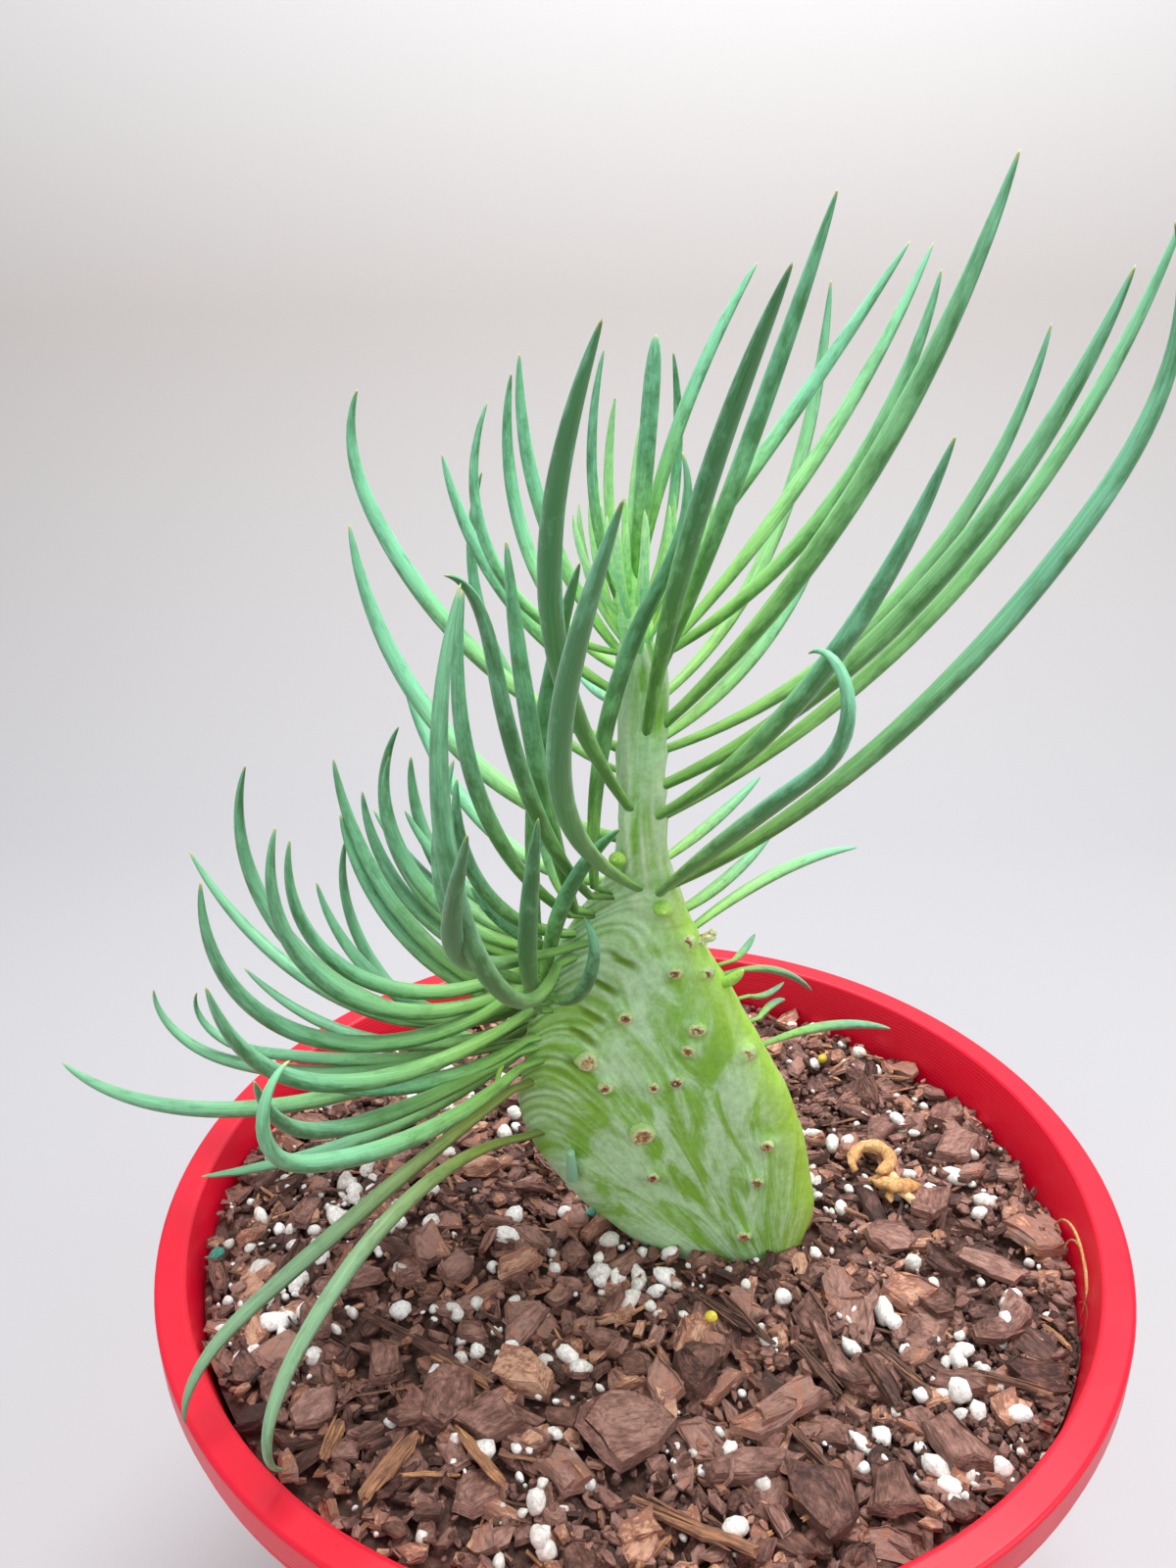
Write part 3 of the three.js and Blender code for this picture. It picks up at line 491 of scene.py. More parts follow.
def plain_stage():
    """Matt board with painted light: grey on the floor, growing paler up the wall."""
    material, add, shader = new_material("matt_pale_board")
    lift = add("SeparateXYZ", {"Vector": add("TexCoord").outputs["Object"]}).outputs["Z"]
    # Painted light: darker on the floor and paler up the wall
    painted_light_ramp = add("ValToRGB", {"Fac": lift}, (
        (0, "#BABABD"), (0.3, "#C6C2BF"), (0.65, "#E4E4E6"), (1, "#F0F0F2")))
    feed(shader, {"Base Color": painted_light_ramp, "Roughness": 0.9})
    return material


# Making pieces

def mesh_from(bm, name):
    """Turns a bmesh into a mesh and frees it."""
    mesh = bpy.data.meshes.new(name)
    bm.to_mesh(mesh)
    bm.free()
    return mesh


def pour(one, bm):
    """Adds a bmesh to bm and frees it."""
    mesh = mesh_from(one, "bit")
    bm.from_mesh(mesh)
    bpy.data.meshes.remove(mesh)


def put_in_scene(name, data):
    """Adds an object to the scene."""
    thing = bpy.data.objects.new(name, data)
    bpy.context.scene.collection.objects.link(thing)
    return thing


def smoothed(bm):
    """Shades a bmesh smooth."""
    for face in bm.faces:
        face.smooth = True


def place_piece(name, bm, materials, replaced=(), smooth=True):
    """Turns a bmesh into a finished piece that rides on the part's one body."""
    bmesh.ops.recalc_face_normals(bm, faces=bm.faces)
    if smooth:
        smoothed(bm)
    mesh = mesh_from(bm, name)
    for material in materials:
        mesh.materials.append(material)
    piece = put_in_scene(name, mesh)
    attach(piece, "root")
    if replaced:
        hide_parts(*replaced)
    return piece


def bake_modifiers(piece):
    """Puts the result of a piece's modifiers into its mesh."""
    shown = piece.evaluated_get(bpy.context.evaluated_depsgraph_get())
    old = piece.data
    piece.data = bpy.data.meshes.new_from_object(shown)
    piece.modifiers.clear()
    bpy.data.meshes.remove(old)
    piece.data.name = piece.name


def spun(bm, profile, steps):
    """Spins a profile of (radius, height) points round Z into a closed skin."""
    verts = [bm.verts.new((r, 0, z)) for r, z in profile]
    edges = [bm.edges.new(pair) for pair in zip(verts, verts[1:])]
    bmesh.ops.spin(bm, geom=verts + edges, cent=(0, 0, 0), axis=(0, 0, 1),
                   angle=2 * math.pi, steps=steps, use_merge=True)
    bmesh.ops.remove_doubles(bm, verts=bm.verts, dist=1e-7)
    bmesh.ops.recalc_face_normals(bm, faces=bm.faces)


def between(start, end, steps):
    """Evenly spaced points after start, up to end."""
    return [[a + (b - a) * i / steps for a, b in zip(start, end)] for i in range(1, steps + 1)]


def quarter_turn(steps):
    """The cosines and sines of angles from 0 to 90 degrees."""
    turns = [math.pi / 2 * i / steps for i in range(steps + 1)]
    return [(math.cos(turn), math.sin(turn)) for turn in turns]


def unit(value):
    """Keeps a value between 0 and 1."""
    return min(1, max(0, value))


def at_height(rows, height):
    """Smoothly blends the values of rows that start with a height."""
    last = len(rows) - 1
    i = next((k for k in range(last) if rows[k + 1][0] > height), last - 1)
    p0, p1, p2, p3 = rows[max(0, i - 1)], rows[i], rows[i + 1], rows[min(last, i + 2)]
    t = unit((height - p1[0]) / (p2[0] - p1[0]))
    values = []
    for a, b, c, d in zip(p0[1:], p1[1:], p2[1:], p3[1:]):
        values.append(b + 0.5 * t * (c - a + t * (2 * a - 5 * b + 4 * c - d
                                                  + t * (3 * (b - c) + d - a))))
    return values


def on_line(line, height):
    """The x of a line of (x, height) points at a height."""
    return at_height([(z, x) for x, z in line], height)[0]


def along_crest(distance):
    """The point of the crest's edge that is this far up it."""
    left = distance
    for i, ((x0, z0), (x1, z1)) in enumerate(zip(CREST_LINE, CREST_LINE[1:])):
        run = math.hypot(x1 - x0, z1 - z0)
        if left <= run or i == len(CREST_LINE) - 2:
            return x0 + (x1 - x0) * left / run, z0 + (z1 - z0) * left / run
        left -= run


def soften(value):
    """Makes a round outline squarer."""
    return math.copysign(abs(value) ** STEM_SQUARENESS, value)


def face_depth(x, z):
    """How far the stem's faces stand from its middle plane at a place on them."""
    left, right, thickness = at_height(STEM_SLICES, z)
    across = min(0.98, abs(x - (left + right) / 2) / ((right - left) / 2))
    return thickness / 2 * (1 - across ** (2 / STEM_SQUARENESS)) ** (STEM_SQUARENESS / 2)


def to_frame(x, y, z):
    """From millimetres on the plant to metres in the frame."""
    return Vector((x * MM, PLANT_Y + y * MM, POT_HEIGHT + z * MM))


# Leaves

def leaf_width(t, point):
    """A leaf's thickness along it, as a share of its widest: a narrow foot and a short point."""
    if t < LEAF_BELLY:
        return LEAF_FOOT + (1 - LEAF_FOOT) * math.sin(math.pi / 2 * t / LEAF_BELLY) ** 1.3
    return (1 - ((t - LEAF_BELLY) / (1 - LEAF_BELLY)) ** point) ** 0.58


def leaf_blank(point=LEAF_POINT):
    """A straight leaf of unit length and unit half width, spun round Z, with its UV map. The
    higher the point's power, the blunter the tip."""
    bm = bmesh.new()
    places = [1 - (1 - i / LEAF_RINGS) ** 1.35 for i in range(LEAF_RINGS)]
    spun(bm, [(0, 0)] + [(leaf_width(t, point), t) for t in places] + [(0, 1)], LEAF_SIDES)
    layer = bm.loops.layers.uv.new("leaf")
    for face in bm.faces:
        middle = face.calc_center_median()
        middle = math.atan2(middle.y, middle.x) / (2 * math.pi) % 1
        for loop in face.loops:
            x, y, z = loop.vert.co
            turn = math.atan2(y, x) / (2 * math.pi) % 1
            # The two ends take the face's own turn, and a face on the seam runs on past it
            turn = middle if math.hypot(x, y) < 1e-6 else turn - round(turn - middle)
            loop[layer].uv = (turn, z)
    bm.verts.layers.float.new("leaf_number")
    smoothed(bm)
    return mesh_from(bm, "leaf_blank")


def leafy_bmesh(blank):
    """An empty bmesh with the blank's layers."""
    bm = bmesh.new()
    bm.from_mesh(blank)
    bmesh.ops.delete(bm, geom=bm.verts)
    return bm


def leaf_path(start, bearing, rise, end, length, swing, hook):
    """Points of a leaf's centre line, with the directions across it, from root to tip."""
    def headings(t):
        turn = hook * max(0, (t - HOOK_START) / (1 - HOOK_START)) ** 2
        b, r = math.radians(bearing + swing * t), math.radians(rise + (end - rise) * t + turn)
        return math.cos(b), math.sin(b), math.cos(r), math.sin(r)

    point = start.copy()
    path = []
    for i in range(PATH_STEPS + 1):
        ahead, aside, level, upward = headings(i / PATH_STEPS)
        path.append((point.copy(), Vector((-aside, ahead, 0)),
                     Vector((upward * ahead, upward * aside, -level))))
        ahead, aside, level, upward = headings((i + 0.5) / PATH_STEPS)
        point += length * MM / PATH_STEPS * Vector((level * ahead, level * aside, upward))
    return path


def bend_leaf(bm, blank, path, width, number, anchor=None, finish=0):
    """Adds a copy of the blank to bm, bent along the path, with one of bm's materials."""
    vert_count, face_count = len(bm.verts), len(bm.faces)
    bm.from_mesh(blank)
    bm.verts.ensure_lookup_table()
    bm.faces.ensure_lookup_table()
    layer = bm.verts.layers.float["leaf_number"]
    for face in bm.faces[face_count:]:
        face.material_index = finish
    for vert in bm.verts[vert_count:]:
        x, y, t = vert.co
        spot = min(t * PATH_STEPS, PATH_STEPS - 1e-6)
        (p0, side, normal), (p1, side1, normal1) = path[int(spot)], path[int(spot) + 1]
        share = spot - int(spot)
        centre = p0.lerp(p1, share) if anchor is None or t > 0 else anchor
        vert.co = (centre + side.lerp(side1, share) * x * width / 2 * MM
                   + normal.lerp(normal1, share) * y * width / 2 * LEAF_FLATNESS * MM)
        vert[layer] = number


def add_leaf(bm, blank, number, start, bearing, rise, end, length, width, swing=0, hook=0,
             **options):
    """Adds a leaf to bm that grows from start."""
    path = leaf_path(start, bearing, rise, end, length, swing, hook)
    bend_leaf(bm, blank, path, width, number, **options)


def shoot_leaf(bm, blank, number, row, finish=0):
    """Adds a leaf of the shoot or its tip, rooted inside the stem."""
    at, bearing, *_ = row
    line, inside = (TIP_LINE, 0.8) if at >= TIP_LINE[0][1] else (SHOOT_LINE, 2.2)
    b = math.radians(bearing)
    start = to_frame(on_line(line, at) + inside * math.cos(b), inside * math.sin(b), at)
    add_leaf(bm, blank, number, start, *row[1:], finish=finish)


# Operators

class CREST_OT_pot(bpy.types.Operator):
    """Make the pot"""
    bl_idname = "crest.pot"
    bl_label = "Pot"

    def execute(self, context):
        top, inner, slope = POT_HEIGHT, INNER_RIM, WALL_SLOPE
        profile = [(0, 0), (FLOOR_RING, 0), (FOOT_RADIUS - FOOT_ROUND, 0),
                   (FOOT_RADIUS - 0.4 * MM, 0.4 * MM), (FOOT_RADIUS, FOOT_ROUND)]
        profile += between(profile[-1], (FOOT_RADIUS + slope * (BEAD - FLOOR), BEAD), WALL_ROWS)
        profile += [(RIM_RADIUS - x * MM, BEAD + z * MM) for x, z in RIM_OUTLINE]
        profile += [(RIM_RADIUS, top - LIP - 0.2 * MM)]
        profile += [(RIM_RADIUS - LIP + LIP * x, top - LIP + LIP * z)
                    for x, z in quarter_turn(6)]
        profile += [(RIM_RADIUS - LIP - 0.2 * MM, top), (inner + MM, top),
                    (inner + 0.8 * MM, top), (inner + 0.2 * MM, top - 0.15 * MM),
                    (inner - slope * 0.6 * MM, top - 0.7 * MM)]
        profile += between((inner, top), (FOOT_RADIUS - WALL, FLOOR), WALL_ROWS)
        profile += [(FLOOR_RING, FLOOR), (0, FLOOR)]
        bm = bmesh.new()
        spun(bm, profile, POT_STEPS)
        pot = place_piece("moulded_pot", bm, [pot_plastic(context.scene.crest_pot)],
                          ["pot"])
        cutters = bmesh.new()
        for i in range(HOLE_COUNT):
            angle = 2 * math.pi * (i + 0.5) / HOLE_COUNT
            spot = HOLE_RING * Vector((math.cos(angle), math.sin(angle), 0))
            bmesh.ops.create_cone(
                cutters, cap_ends=True, segments=24, radius1=HOLE_RADIUS, radius2=HOLE_RADIUS,
                depth=4 * FLOOR, matrix=Matrix.Translation(spot))
        cutter = put_in_scene("hole_cutters", mesh_from(cutters, "hole_cutters"))
        cut = pot.modifiers.new("Drainage", "BOOLEAN")
        cut.object = cutter
        cut.solver = "EXACT"
        bake_modifiers(pot)
        bpy.data.objects.remove(cutter)
        pot.modifiers.new("Crisp Edges", "EDGE_SPLIT").split_angle = math.radians(50)
        bake_modifiers(pot)
        return {"FINISHED"}


class CREST_OT_stem(bpy.types.Operator):
    """Make the fan-shaped stem with its upright shoot, its leaf bases and its scars"""
    bl_idname = "crest.stem"
    bl_label = "Stem"

    def execute(self, context):
        bm = bmesh.new()
        bmesh.ops.create_cone(bm, cap_ends=True, segments=STEM_ROUNDS, radius1=1, radius2=1,
                              depth=1, matrix=Matrix.Translation((0, 0, 0.5)))
        upright = [e for e in bm.edges if abs(e.verts[0].co.z - e.verts[1].co.z) > 0.5]
        bmesh.ops.subdivide_edges(bm, edges=upright, cuts=STEM_ROWS - 1, use_grid_fill=True)
        bmesh.ops.poke(bm, faces=[f for f in bm.faces if len(f.verts) > 4])
        flow = bm.loops.layers.uv.new("flow")
        groove_shade_and_lens, crest, edge = [bm.verts.layers.float.new(name)
                               for name in ("groove_shade_and_lens", "ridge", "edge")]
        flows = {}
        for vert in bm.verts:
            z = row_height(vert.co.z)
            left, right, thickness = at_height(STEM_SLICES, z)
            dome = math.sqrt(1 - 0.5 * max(0, (z - DOME_START) / DOME_RISE) ** 2)
            half, deep = (right - left) / 2 * dome, thickness / 2 * dome
            cx, cy = soften(vert.co.x), soften(vert.co.y)
            x, y = (left + right) / 2 + cx * half, cy * deep
            out = Vector((cx / half, cy / deep, 0))
            if out.length > 0:
                out.normalize()
            height = skin_swell(x, y, z)
            for sx, face, sz in SCARS:
                near = ((x - sx) ** 2 + (z - sz) ** 2) / SCAR_SPREAD ** 2
                if y * face > 0 and near < 6:
                    height += SCAR_HEIGHT * (math.exp(-near) - 0.28 * math.exp(-7 * near))
            pleat = shoot_pleats(x, y, z)
            height += shoot_cushions(x, y, z) + 0.4 * pleat
            ridge, recess = leaf_base_ridges(x, y, z)
            height += 0.2 * ridge
            flows[vert] = stem_flow(x, z)
            # Painted shade in the hollows beside the ridges, with the lenses' own yellow-green
            vert[groove_shade_and_lens] = recess
            bark = max(0, 0.5 + 1.3 * pleat) * unit((z - SHOOT_START) / 12)
            vert[crest] = 0.58 * max(0, ridge) + bark
            # Painted light: a brighter band along the right edge, fading out high up
            vert[edge] = 0.85 * math.exp(-((right - x) / 5) ** 2) * unit((76 - z) / 12)
            vert.co = to_frame(x, y, z) + out * height * MM
        for face in bm.faces:
            for loop in face.loops:
                loop[flow].uv = flows[loop.vert]
        place_piece("fan_stem", bm, [stem_skin(context.scene.crest_plant)],
                    ["crested_stem"])
        return {"FINISHED"}


def skin_swell(x, y, z):
    """The stem's gentle swellings, in millimetres, slighter where it is narrow."""
    left, right, _ = at_height(STEM_SLICES, z)
    height = 0.5 * noise.noise(Vector((x, y, z)) * 0.11) * min(1, (right - left) / 24)
    return height + 0.12 * noise.noise(Vector((x, y, z)) * 0.45)


def stem_flow(x, z):
    """Growth lines leave the crest's edge a little upward, then bend down to the stem's foot.
    Gives the angle that tells the lines apart, in degrees, and the distance from the foot."""
    across, up = STEM_FOOT[0] - x, z - STEM_FOOT[1]
    inward = max(0, x - at_height(STEM_SLICES, z)[0])
    bend = 8 + 5 * unit(z / 60)
    line = math.degrees(math.atan2(across, up)) - bend * math.exp(-inward / 5)
    return line, math.hypot(across, up)


def row_height(share):
    """The height of a row of the stem's skin."""
    for (s0, z0), (s1, z1) in zip(ROW_HEIGHTS, ROW_HEIGHTS[1:]):
        if share <= s1:
            return z0 + (z1 - z0) * (share - s0) / (s1 - s0)
    return ROW_HEIGHTS[-1][1]


def leaf_base_ridges(x, y, z):
    """The crowded leaf bases that sweep from the crest over the stem's faces and fade out.
    Gives the ridge's height, and the share of painted shade in the hollow beside it, with the
    lenses' own colour added."""
    if not -2 < z < 74:
        return 0, 0
    inward = x - at_height(STEM_SLICES, z)[0]
    line, _ = stem_flow(x, z)
    reach = 20 + 9 * noise.noise(Vector((0, line * 0.3, 3)))
    fade = max(0, 1 - inward / reach) * unit((z - 5) / 20) * min(1, (74 - z) / 10)
    fade = max(0, fade * (0.6 + 0.9 * noise.noise(Vector((inward * 0.1, line * 0.7, 9)))))
    wander = 4.2 * noise.noise(Vector((inward * 0.15, line * 0.5, y * 0.1)))
    wave = math.sin(2 * math.pi * line / RIDGE_SPACING + wander)
    lens = max(math.exp(-((x - a) / 2.4) ** 4 - ((z - b + (x - a) * 0.55) / 0.9) ** 4)
               for a, b in LENSES)
    # Painted shade in the hollow beside each ridge, plus the lenses' own colour
    recess = max(0, -wave) ** 1.3 * 0.75 * fade + lens
    return wave * fade ** 0.8 - 1.2 * lens, min(1, recess)


def shoot_pleats(x, y, z):
    """The bark's fibrous pleats, which run up the shoot a few millimetres apart."""
    if z < SHOOT_START:
        return 0
    bearing = math.atan2(y, x - on_line(SHOOT_LINE, min(z, SHOOT_TOP)))
    around = Vector((math.cos(bearing), math.sin(bearing), 0))
    pleat = noise.noise(around * 2.4 + Vector((0, 0, z * 0.06)))
    pleat += 0.3 * noise.noise(around * 6 + Vector((5, 0, z * 0.12)))
    return pleat * min(1, (z - SHOOT_START) / 8)


def shoot_cushions(x, y, z):
    """The swollen foot under each leaf of the shoot, which runs down into the bark."""
    if z < SHOOT_START:
        return 0
    height = 0
    bearing = math.degrees(math.atan2(y, x - on_line(SHOOT_LINE, min(z, SHOOT_TOP))))
    for at, turn, *_ in SHOOT_LEAVES:
        down = at - z
        if -3 < down < 12:
            apart = (bearing - turn + 180) % 360 - 180
            fade = math.exp(-down / 4) if down > 0 else math.exp(-(down / 1.3) ** 2)
            height += 0.7 * math.exp(-(apart / 24) ** 2) * fade
    return height


class CREST_OT_scars(bpy.types.Operator):
    """Make the corky scars and the stubs that fallen leaves have left"""
    bl_idname = "crest.scars"
    bl_label = "Scars"

    def execute(self, context):
        random.seed(SCAR_SEED)
        cork = dry_matter("cork_scar", (
            (0, "#553B26"), (0.36, "#8E6844"), (0.52, "#B8966A"), (0.68, "#CDD6A4"),
            (0.85, "#B9D894"), (1, "#A8CE7A")), 0.5 * MM, 0.8, 0.15 * MM)
        bm = bits()
        for x, face, z in SCARS:
            one = bmesh.new()
            spun(one, [(r * SCAR_RADIUS * MM, h * MM) for r, h in SCAR_OUTLINE], 16)
            tones = one.verts.layers.float.new("tone")
            palest = 0.45 if (x, z) in WIDE_SCARS else 0
            for vert in one.verts:
                vert[tones] = max(palest, min(1, vert.co.xy.length / (SCAR_RADIUS * MM)))
                wobble = noise.noise(vert.co / (0.6 * MM) + Vector((x, z, 0)))
                vert.co *= 1 + 0.22 * wobble
                vert.co.z += 0.14 * MM * wobble
            smoothed(one)
            swell = WIDE_SCARS.get((x, z), random.uniform(0.72, 1.05))
            turn = Matrix.Rotation(face * -math.pi / 2, 4, "X")
            wide = Matrix.Diagonal((swell, swell * random.uniform(0.75, 1), 1, 1))
            depth = face_depth(x, z)
            depth += skin_swell(x, face * depth, z) + 0.82 * SCAR_HEIGHT
            spot = Matrix.Translation(to_frame(x, face * depth, z))
            place_bit(bm, one, spot @ turn @ wide)
        for x, z, radius in WOODY_STUB:
            place_bit(bm, lump(radius * MM, 0.5), Matrix.Translation(to_frame(x, -1, z)), 0.7)
        place_piece("leaf_scars", bm, [cork], smooth=False)
        leaf_stubs(context.scene.crest_plant)
        return {"FINISHED"}


def leaf_stubs(settings):
    """Stubs of cut and young leaves."""
    blank = leaf_blank()
    bm = leafy_bmesh(blank)
    for i, (x, y, z, *shape) in enumerate(STUBS):
        add_leaf(bm, blank, 90 + i, to_frame(x, y, z), *shape)
    cut = bmesh.new()
    bmesh.ops.create_cone(cut, cap_ends=True, segments=18, radius1=1.2 * MM,
                          radius2=0.7 * MM, depth=7.5 * MM)
    sharp = [e for e in cut.edges if e.is_manifold and e.calc_face_angle() > 1]
    bmesh.ops.bevel(cut, geom=sharp, offset=0.35 * MM, segments=3, profile=0.5,
                    affect="EDGES", material=-1)
    lean = Matrix.Translation(to_frame(*CUT_STUB)) @ Matrix.Rotation(0.22, 4, "X")
    bmesh.ops.transform(cut, matrix=lean, verts=cut.verts)
    # The skin is as on a leaf's middle, and the cut end as green as a leaf's foot
    layer = cut.loops.layers.uv.new("leaf")
    cut.normal_update()
    for face in cut.faces:
        for loop in face.loops:
            loop[layer].uv = (0, 0 if face.normal.z < -0.8 else 0.6)
        face.material_index = 1
    pour(cut, bm)
    bud = leaf_skin("young_stub", linear("#AEE066"), linear("#9CD048"), settings.flesh,
                    linear("#DDF4A0"))
    skin = leaf_skin("cut_stub", linear("#9FDCB4"), settings.flesh, linear("#7FB49A"),
                     linear("#B9D98C"))
    place_piece("leaf_stubs", bm, [bud, skin])
    bpy.data.meshes.remove(blank)


class CREST_OT_crest_leaves(bpy.types.Operator):
    """Make the leaves of the crest and the small leaves on the stem's right edge"""
    bl_idname = "crest.crest_leaves"
    bl_label = "Crest Leaves"

    def execute(self, context):
        blank = leaf_blank()
        bm = leafy_bmesh(blank)
        for i, (along, side, *shape) in enumerate(CREST_LEAVES):
            x, z = along_crest(along)
            add_leaf(bm, blank, i, to_frame(x, side, z), *shape,
                     anchor=to_frame(x + 4, side * 0.6, z), finish=i in DULL_LEAVES)
        for i, (x, z, *shape) in enumerate(EDGE_LEAVES):
            add_leaf(bm, blank, len(CREST_LEAVES) + i, to_frame(x, 2, z), *shape,
                     anchor=to_frame(x - 4, 0, z))
        # The crest's leaves take darker copies of the grown leaf colours, as painted shade where
        # the crest sits low under the shoot
        skin = leaf_skin("waxy_leaf_darkened_as_shade", linear("#7ABC90"), linear("#8CC464"), linear("#26580C"))
        dull = leaf_skin("ageing_leaf", linear("#84AC84"), linear("#8AA04A"),
                         linear("#3A5010"), linear("#A08A58"))
        place_piece("crest_leaves", bm, [skin, dull])
        bpy.data.meshes.remove(blank)
        return {"FINISHED"}


class CREST_OT_growing_tip(bpy.types.Operator):
    """Make the growing tip with its young leaves"""
    bl_idname = "crest.growing_tip"
    bl_label = "Growing Tip"

    def execute(self, context):
        settings = context.scene.crest_plant
        blank, blunt = leaf_blank(), leaf_blank(BLUNT_POINT)
        bm = leafy_bmesh(blank)
        heights = [STALK_FOOT + STALK_RISE * i / PATH_STEPS for i in range(PATH_STEPS + 1)]
        stalk = [(to_frame(on_line(TIP_LINE, z), 0, z), Vector((1, 0, 0)), Vector((0, 1, 0)))
                 for z in heights]
        bend_leaf(bm, blank, stalk, STALK_WIDTH, 0)
        for i in range(BUDS):
            row = (106 + 9 * i / BUDS, BUD_TURN * i, 50 + i, 92, 27 - i, 1.6)
            shoot_leaf(bm, blank, i + 20, row)
        for i, row in enumerate(YOUNG_LEAVES):
            # The longest are already as blue-green as the grown leaves
            shoot_leaf(bm, blunt if i == BLUNT_YOUNG_LEAF else blank, i + 1, row,
                       row[4] > GROWN_LENGTH)
        skin = leaf_skin("young_leaf", settings.young, linear("#C8F088"), settings.leaf)
        grown = leaf_skin("grown_young_leaf", settings.leaf, settings.leaf_base,
                          settings.rubbed)
        place_piece("young_leaves", bm, [skin, grown], ["growing_tip"])
        bpy.data.meshes.remove(blank)
        bpy.data.meshes.remove(blunt)
        return {"FINISHED"}


class CREST_OT_shoot_leaves(bpy.types.Operator):
    """Make the large leaves of the upright shoot, each a piece of its own"""
    bl_idname = "crest.shoot_leaves"
    bl_label = "Shoot Leaves"

    def execute(self, context):
        settings = context.scene.crest_plant
        blank = leaf_blank()
        colours = settings.leaf, settings.leaf_base, settings.rubbed
        skin = leaf_skin("waxy_shoot_leaf", *colours)
        greener = leaf_skin("shaded_shoot_leaf", *colours, grown=0.95)
        for i, row in enumerate(SHOOT_LEAVES):
            bm = leafy_bmesh(blank)
            shoot_leaf(bm, blank, i + 50, row)
            finish = greener if SHADED[0] < row[1] < SHADED[1] else skin
            node = f"shoot_leaf_{i + 1:02d}"
            place_piece(f"finger_leaf_{i + 1:02d}", bm, [finish], [node])
        bpy.data.meshes.remove(blank)
        return {"FINISHED"}


# The potting mix

def mix_level(x, y):
    """Height of the mix's top, in metres in the frame."""
    return POT_HEIGHT - MIX_BELOW_RIM - MIX_SLOPE * math.sqrt(0.5) * (x + y)


def inner_radius(z):
    """The pot's inner wall at a height above its foot."""
    return FOOT_RADIUS - WALL + WALL_SLOPE * (z - FLOOR)


def press_in(vert):
    """Moves a point that would be in the pot's wall to just inside it."""
    room = inner_radius(min(vert.co.z, POT_HEIGHT)) - WALL_GAP
    if vert.co.xy.length > room:
        vert.co.xy *= room / vert.co.xy.length


def bits():
    """An empty bmesh for small bits."""
    bm = bmesh.new()
    bm.verts.layers.float.new("tone")
    bm.verts.layers.float_vector.new("grain")
    return bm


def place_bit(bm, one, matrix, tone=None):
    """Places a small bmesh in bm with its tone and its own grain."""
    grain = one.verts.layers.float_vector.new("grain")
    offset = Vector((random.random(), random.random(), random.random()))
    for vert in one.verts:
        vert[grain] = vert.co + offset
        vert.co = matrix @ vert.co
        press_in(vert)
    if not one.verts.layers.float.get("tone"):
        tones = one.verts.layers.float.new("tone")
        tone = random.random() if tone is None else tone
        for vert in one.verts:
            vert[tones] = tone
    pour(one, bm)


def bark_chip(length, width, thickness, layers=1):
    """A thin flake with an uneven angular outline, and layers on it that are broken off short."""
    one = bmesh.new()
    sides = random.randint(6, 9)
    bmesh.ops.create_cone(one, cap_ends=True, segments=sides, radius1=0.5, radius2=0.5, depth=1)
    reach = [random.uniform(0.66, 1.2) for _ in range(sides)]
    lean = [random.uniform(0.84, 1.03) for _ in range(sides)]
    swerve = [random.uniform(-0.38, 0.38) * 2 * math.pi / sides for _ in range(sides)]
    bow = random.uniform(-0.12, 0.12) * length
    for vert in one.verts:
        x, y, z = vert.co
        angle = math.atan2(y, x)
        corner = round(angle / (2 * math.pi) * sides) % sides
        angle += swerve[corner]
        far = 0.5 * reach[corner] * (lean[corner] if z > 0 else 1)
        far /= max(abs(math.cos(angle)), abs(math.sin(angle))) ** 0.7
        vert.co = (far * math.cos(angle), far * math.sin(angle), z + random.uniform(-0.2, 0.2))
    top = max(one.faces, key=lambda f: f.calc_center_median().z if len(f.verts) > 4 else -9)
    for _ in range(layers):
        step = random.choice((-0.3, -0.2, 0.3, 0.5))
        bmesh.ops.inset_region(one, faces=[top], thickness=random.uniform(0.02, 0.07),
                               depth=step)
        for vert in top.verts:
            vert.co.x += random.uniform(-0.07, 0.07)
            vert.co.y += random.uniform(-0.07, 0.07)
    for vert in one.verts:
        x, y, z = vert.co
        vert.co = (x * length, y * width, z * thickness + bow * 4 * x * x)
    return one


def splinter(length, width):
    """A torn strip of bark or wood: several sides, blunt ragged ends and a slight bend."""
    one = bmesh.new()
    bmesh.ops.create_cone(one, cap_ends=True, segments=7, radius1=0.5, radius2=0.5, depth=1)
    upright = [e for e in one.edges if abs(e.verts[0].co.z - e.verts[1].co.z) > 0.5]
    bmesh.ops.subdivide_edges(one, edges=upright, cuts=4, use_grid_fill=True)
    bend = random.uniform(-0.1, 0.1)
    for vert in one.verts:
        x, y, z = vert.co
        torn = random.uniform(-0.07, 0.07) if abs(z) > 0.45 else 0
        taper = 1 - 0.4 * abs(2 * z) ** 2
        vert.co = ((z + torn) * length,
                   (x * taper + random.uniform(-0.16, 0.16)) * width + bend * length * z * z,
                   (y * 0.6 * taper + random.uniform(-0.1, 0.1)) * width)
    return one


def lump(radius, ragged, detail=2):
    """A rounded grain with dents."""
    one = bmesh.new()
    bmesh.ops.create_icosphere(one, subdivisions=detail, radius=radius)
    offset = Vector([random.uniform(-50, 50) for _ in range(3)])
    squash = Vector((random.uniform(0.8, 1.6), random.uniform(0.7, 1.1), random.uniform(0.7, 1)))
    for vert in one.verts:
        dent = 1 + ragged * noise.noise(vert.co / radius * 1.1 + offset)
        vert.co = vert.co * squash * dent
    return one


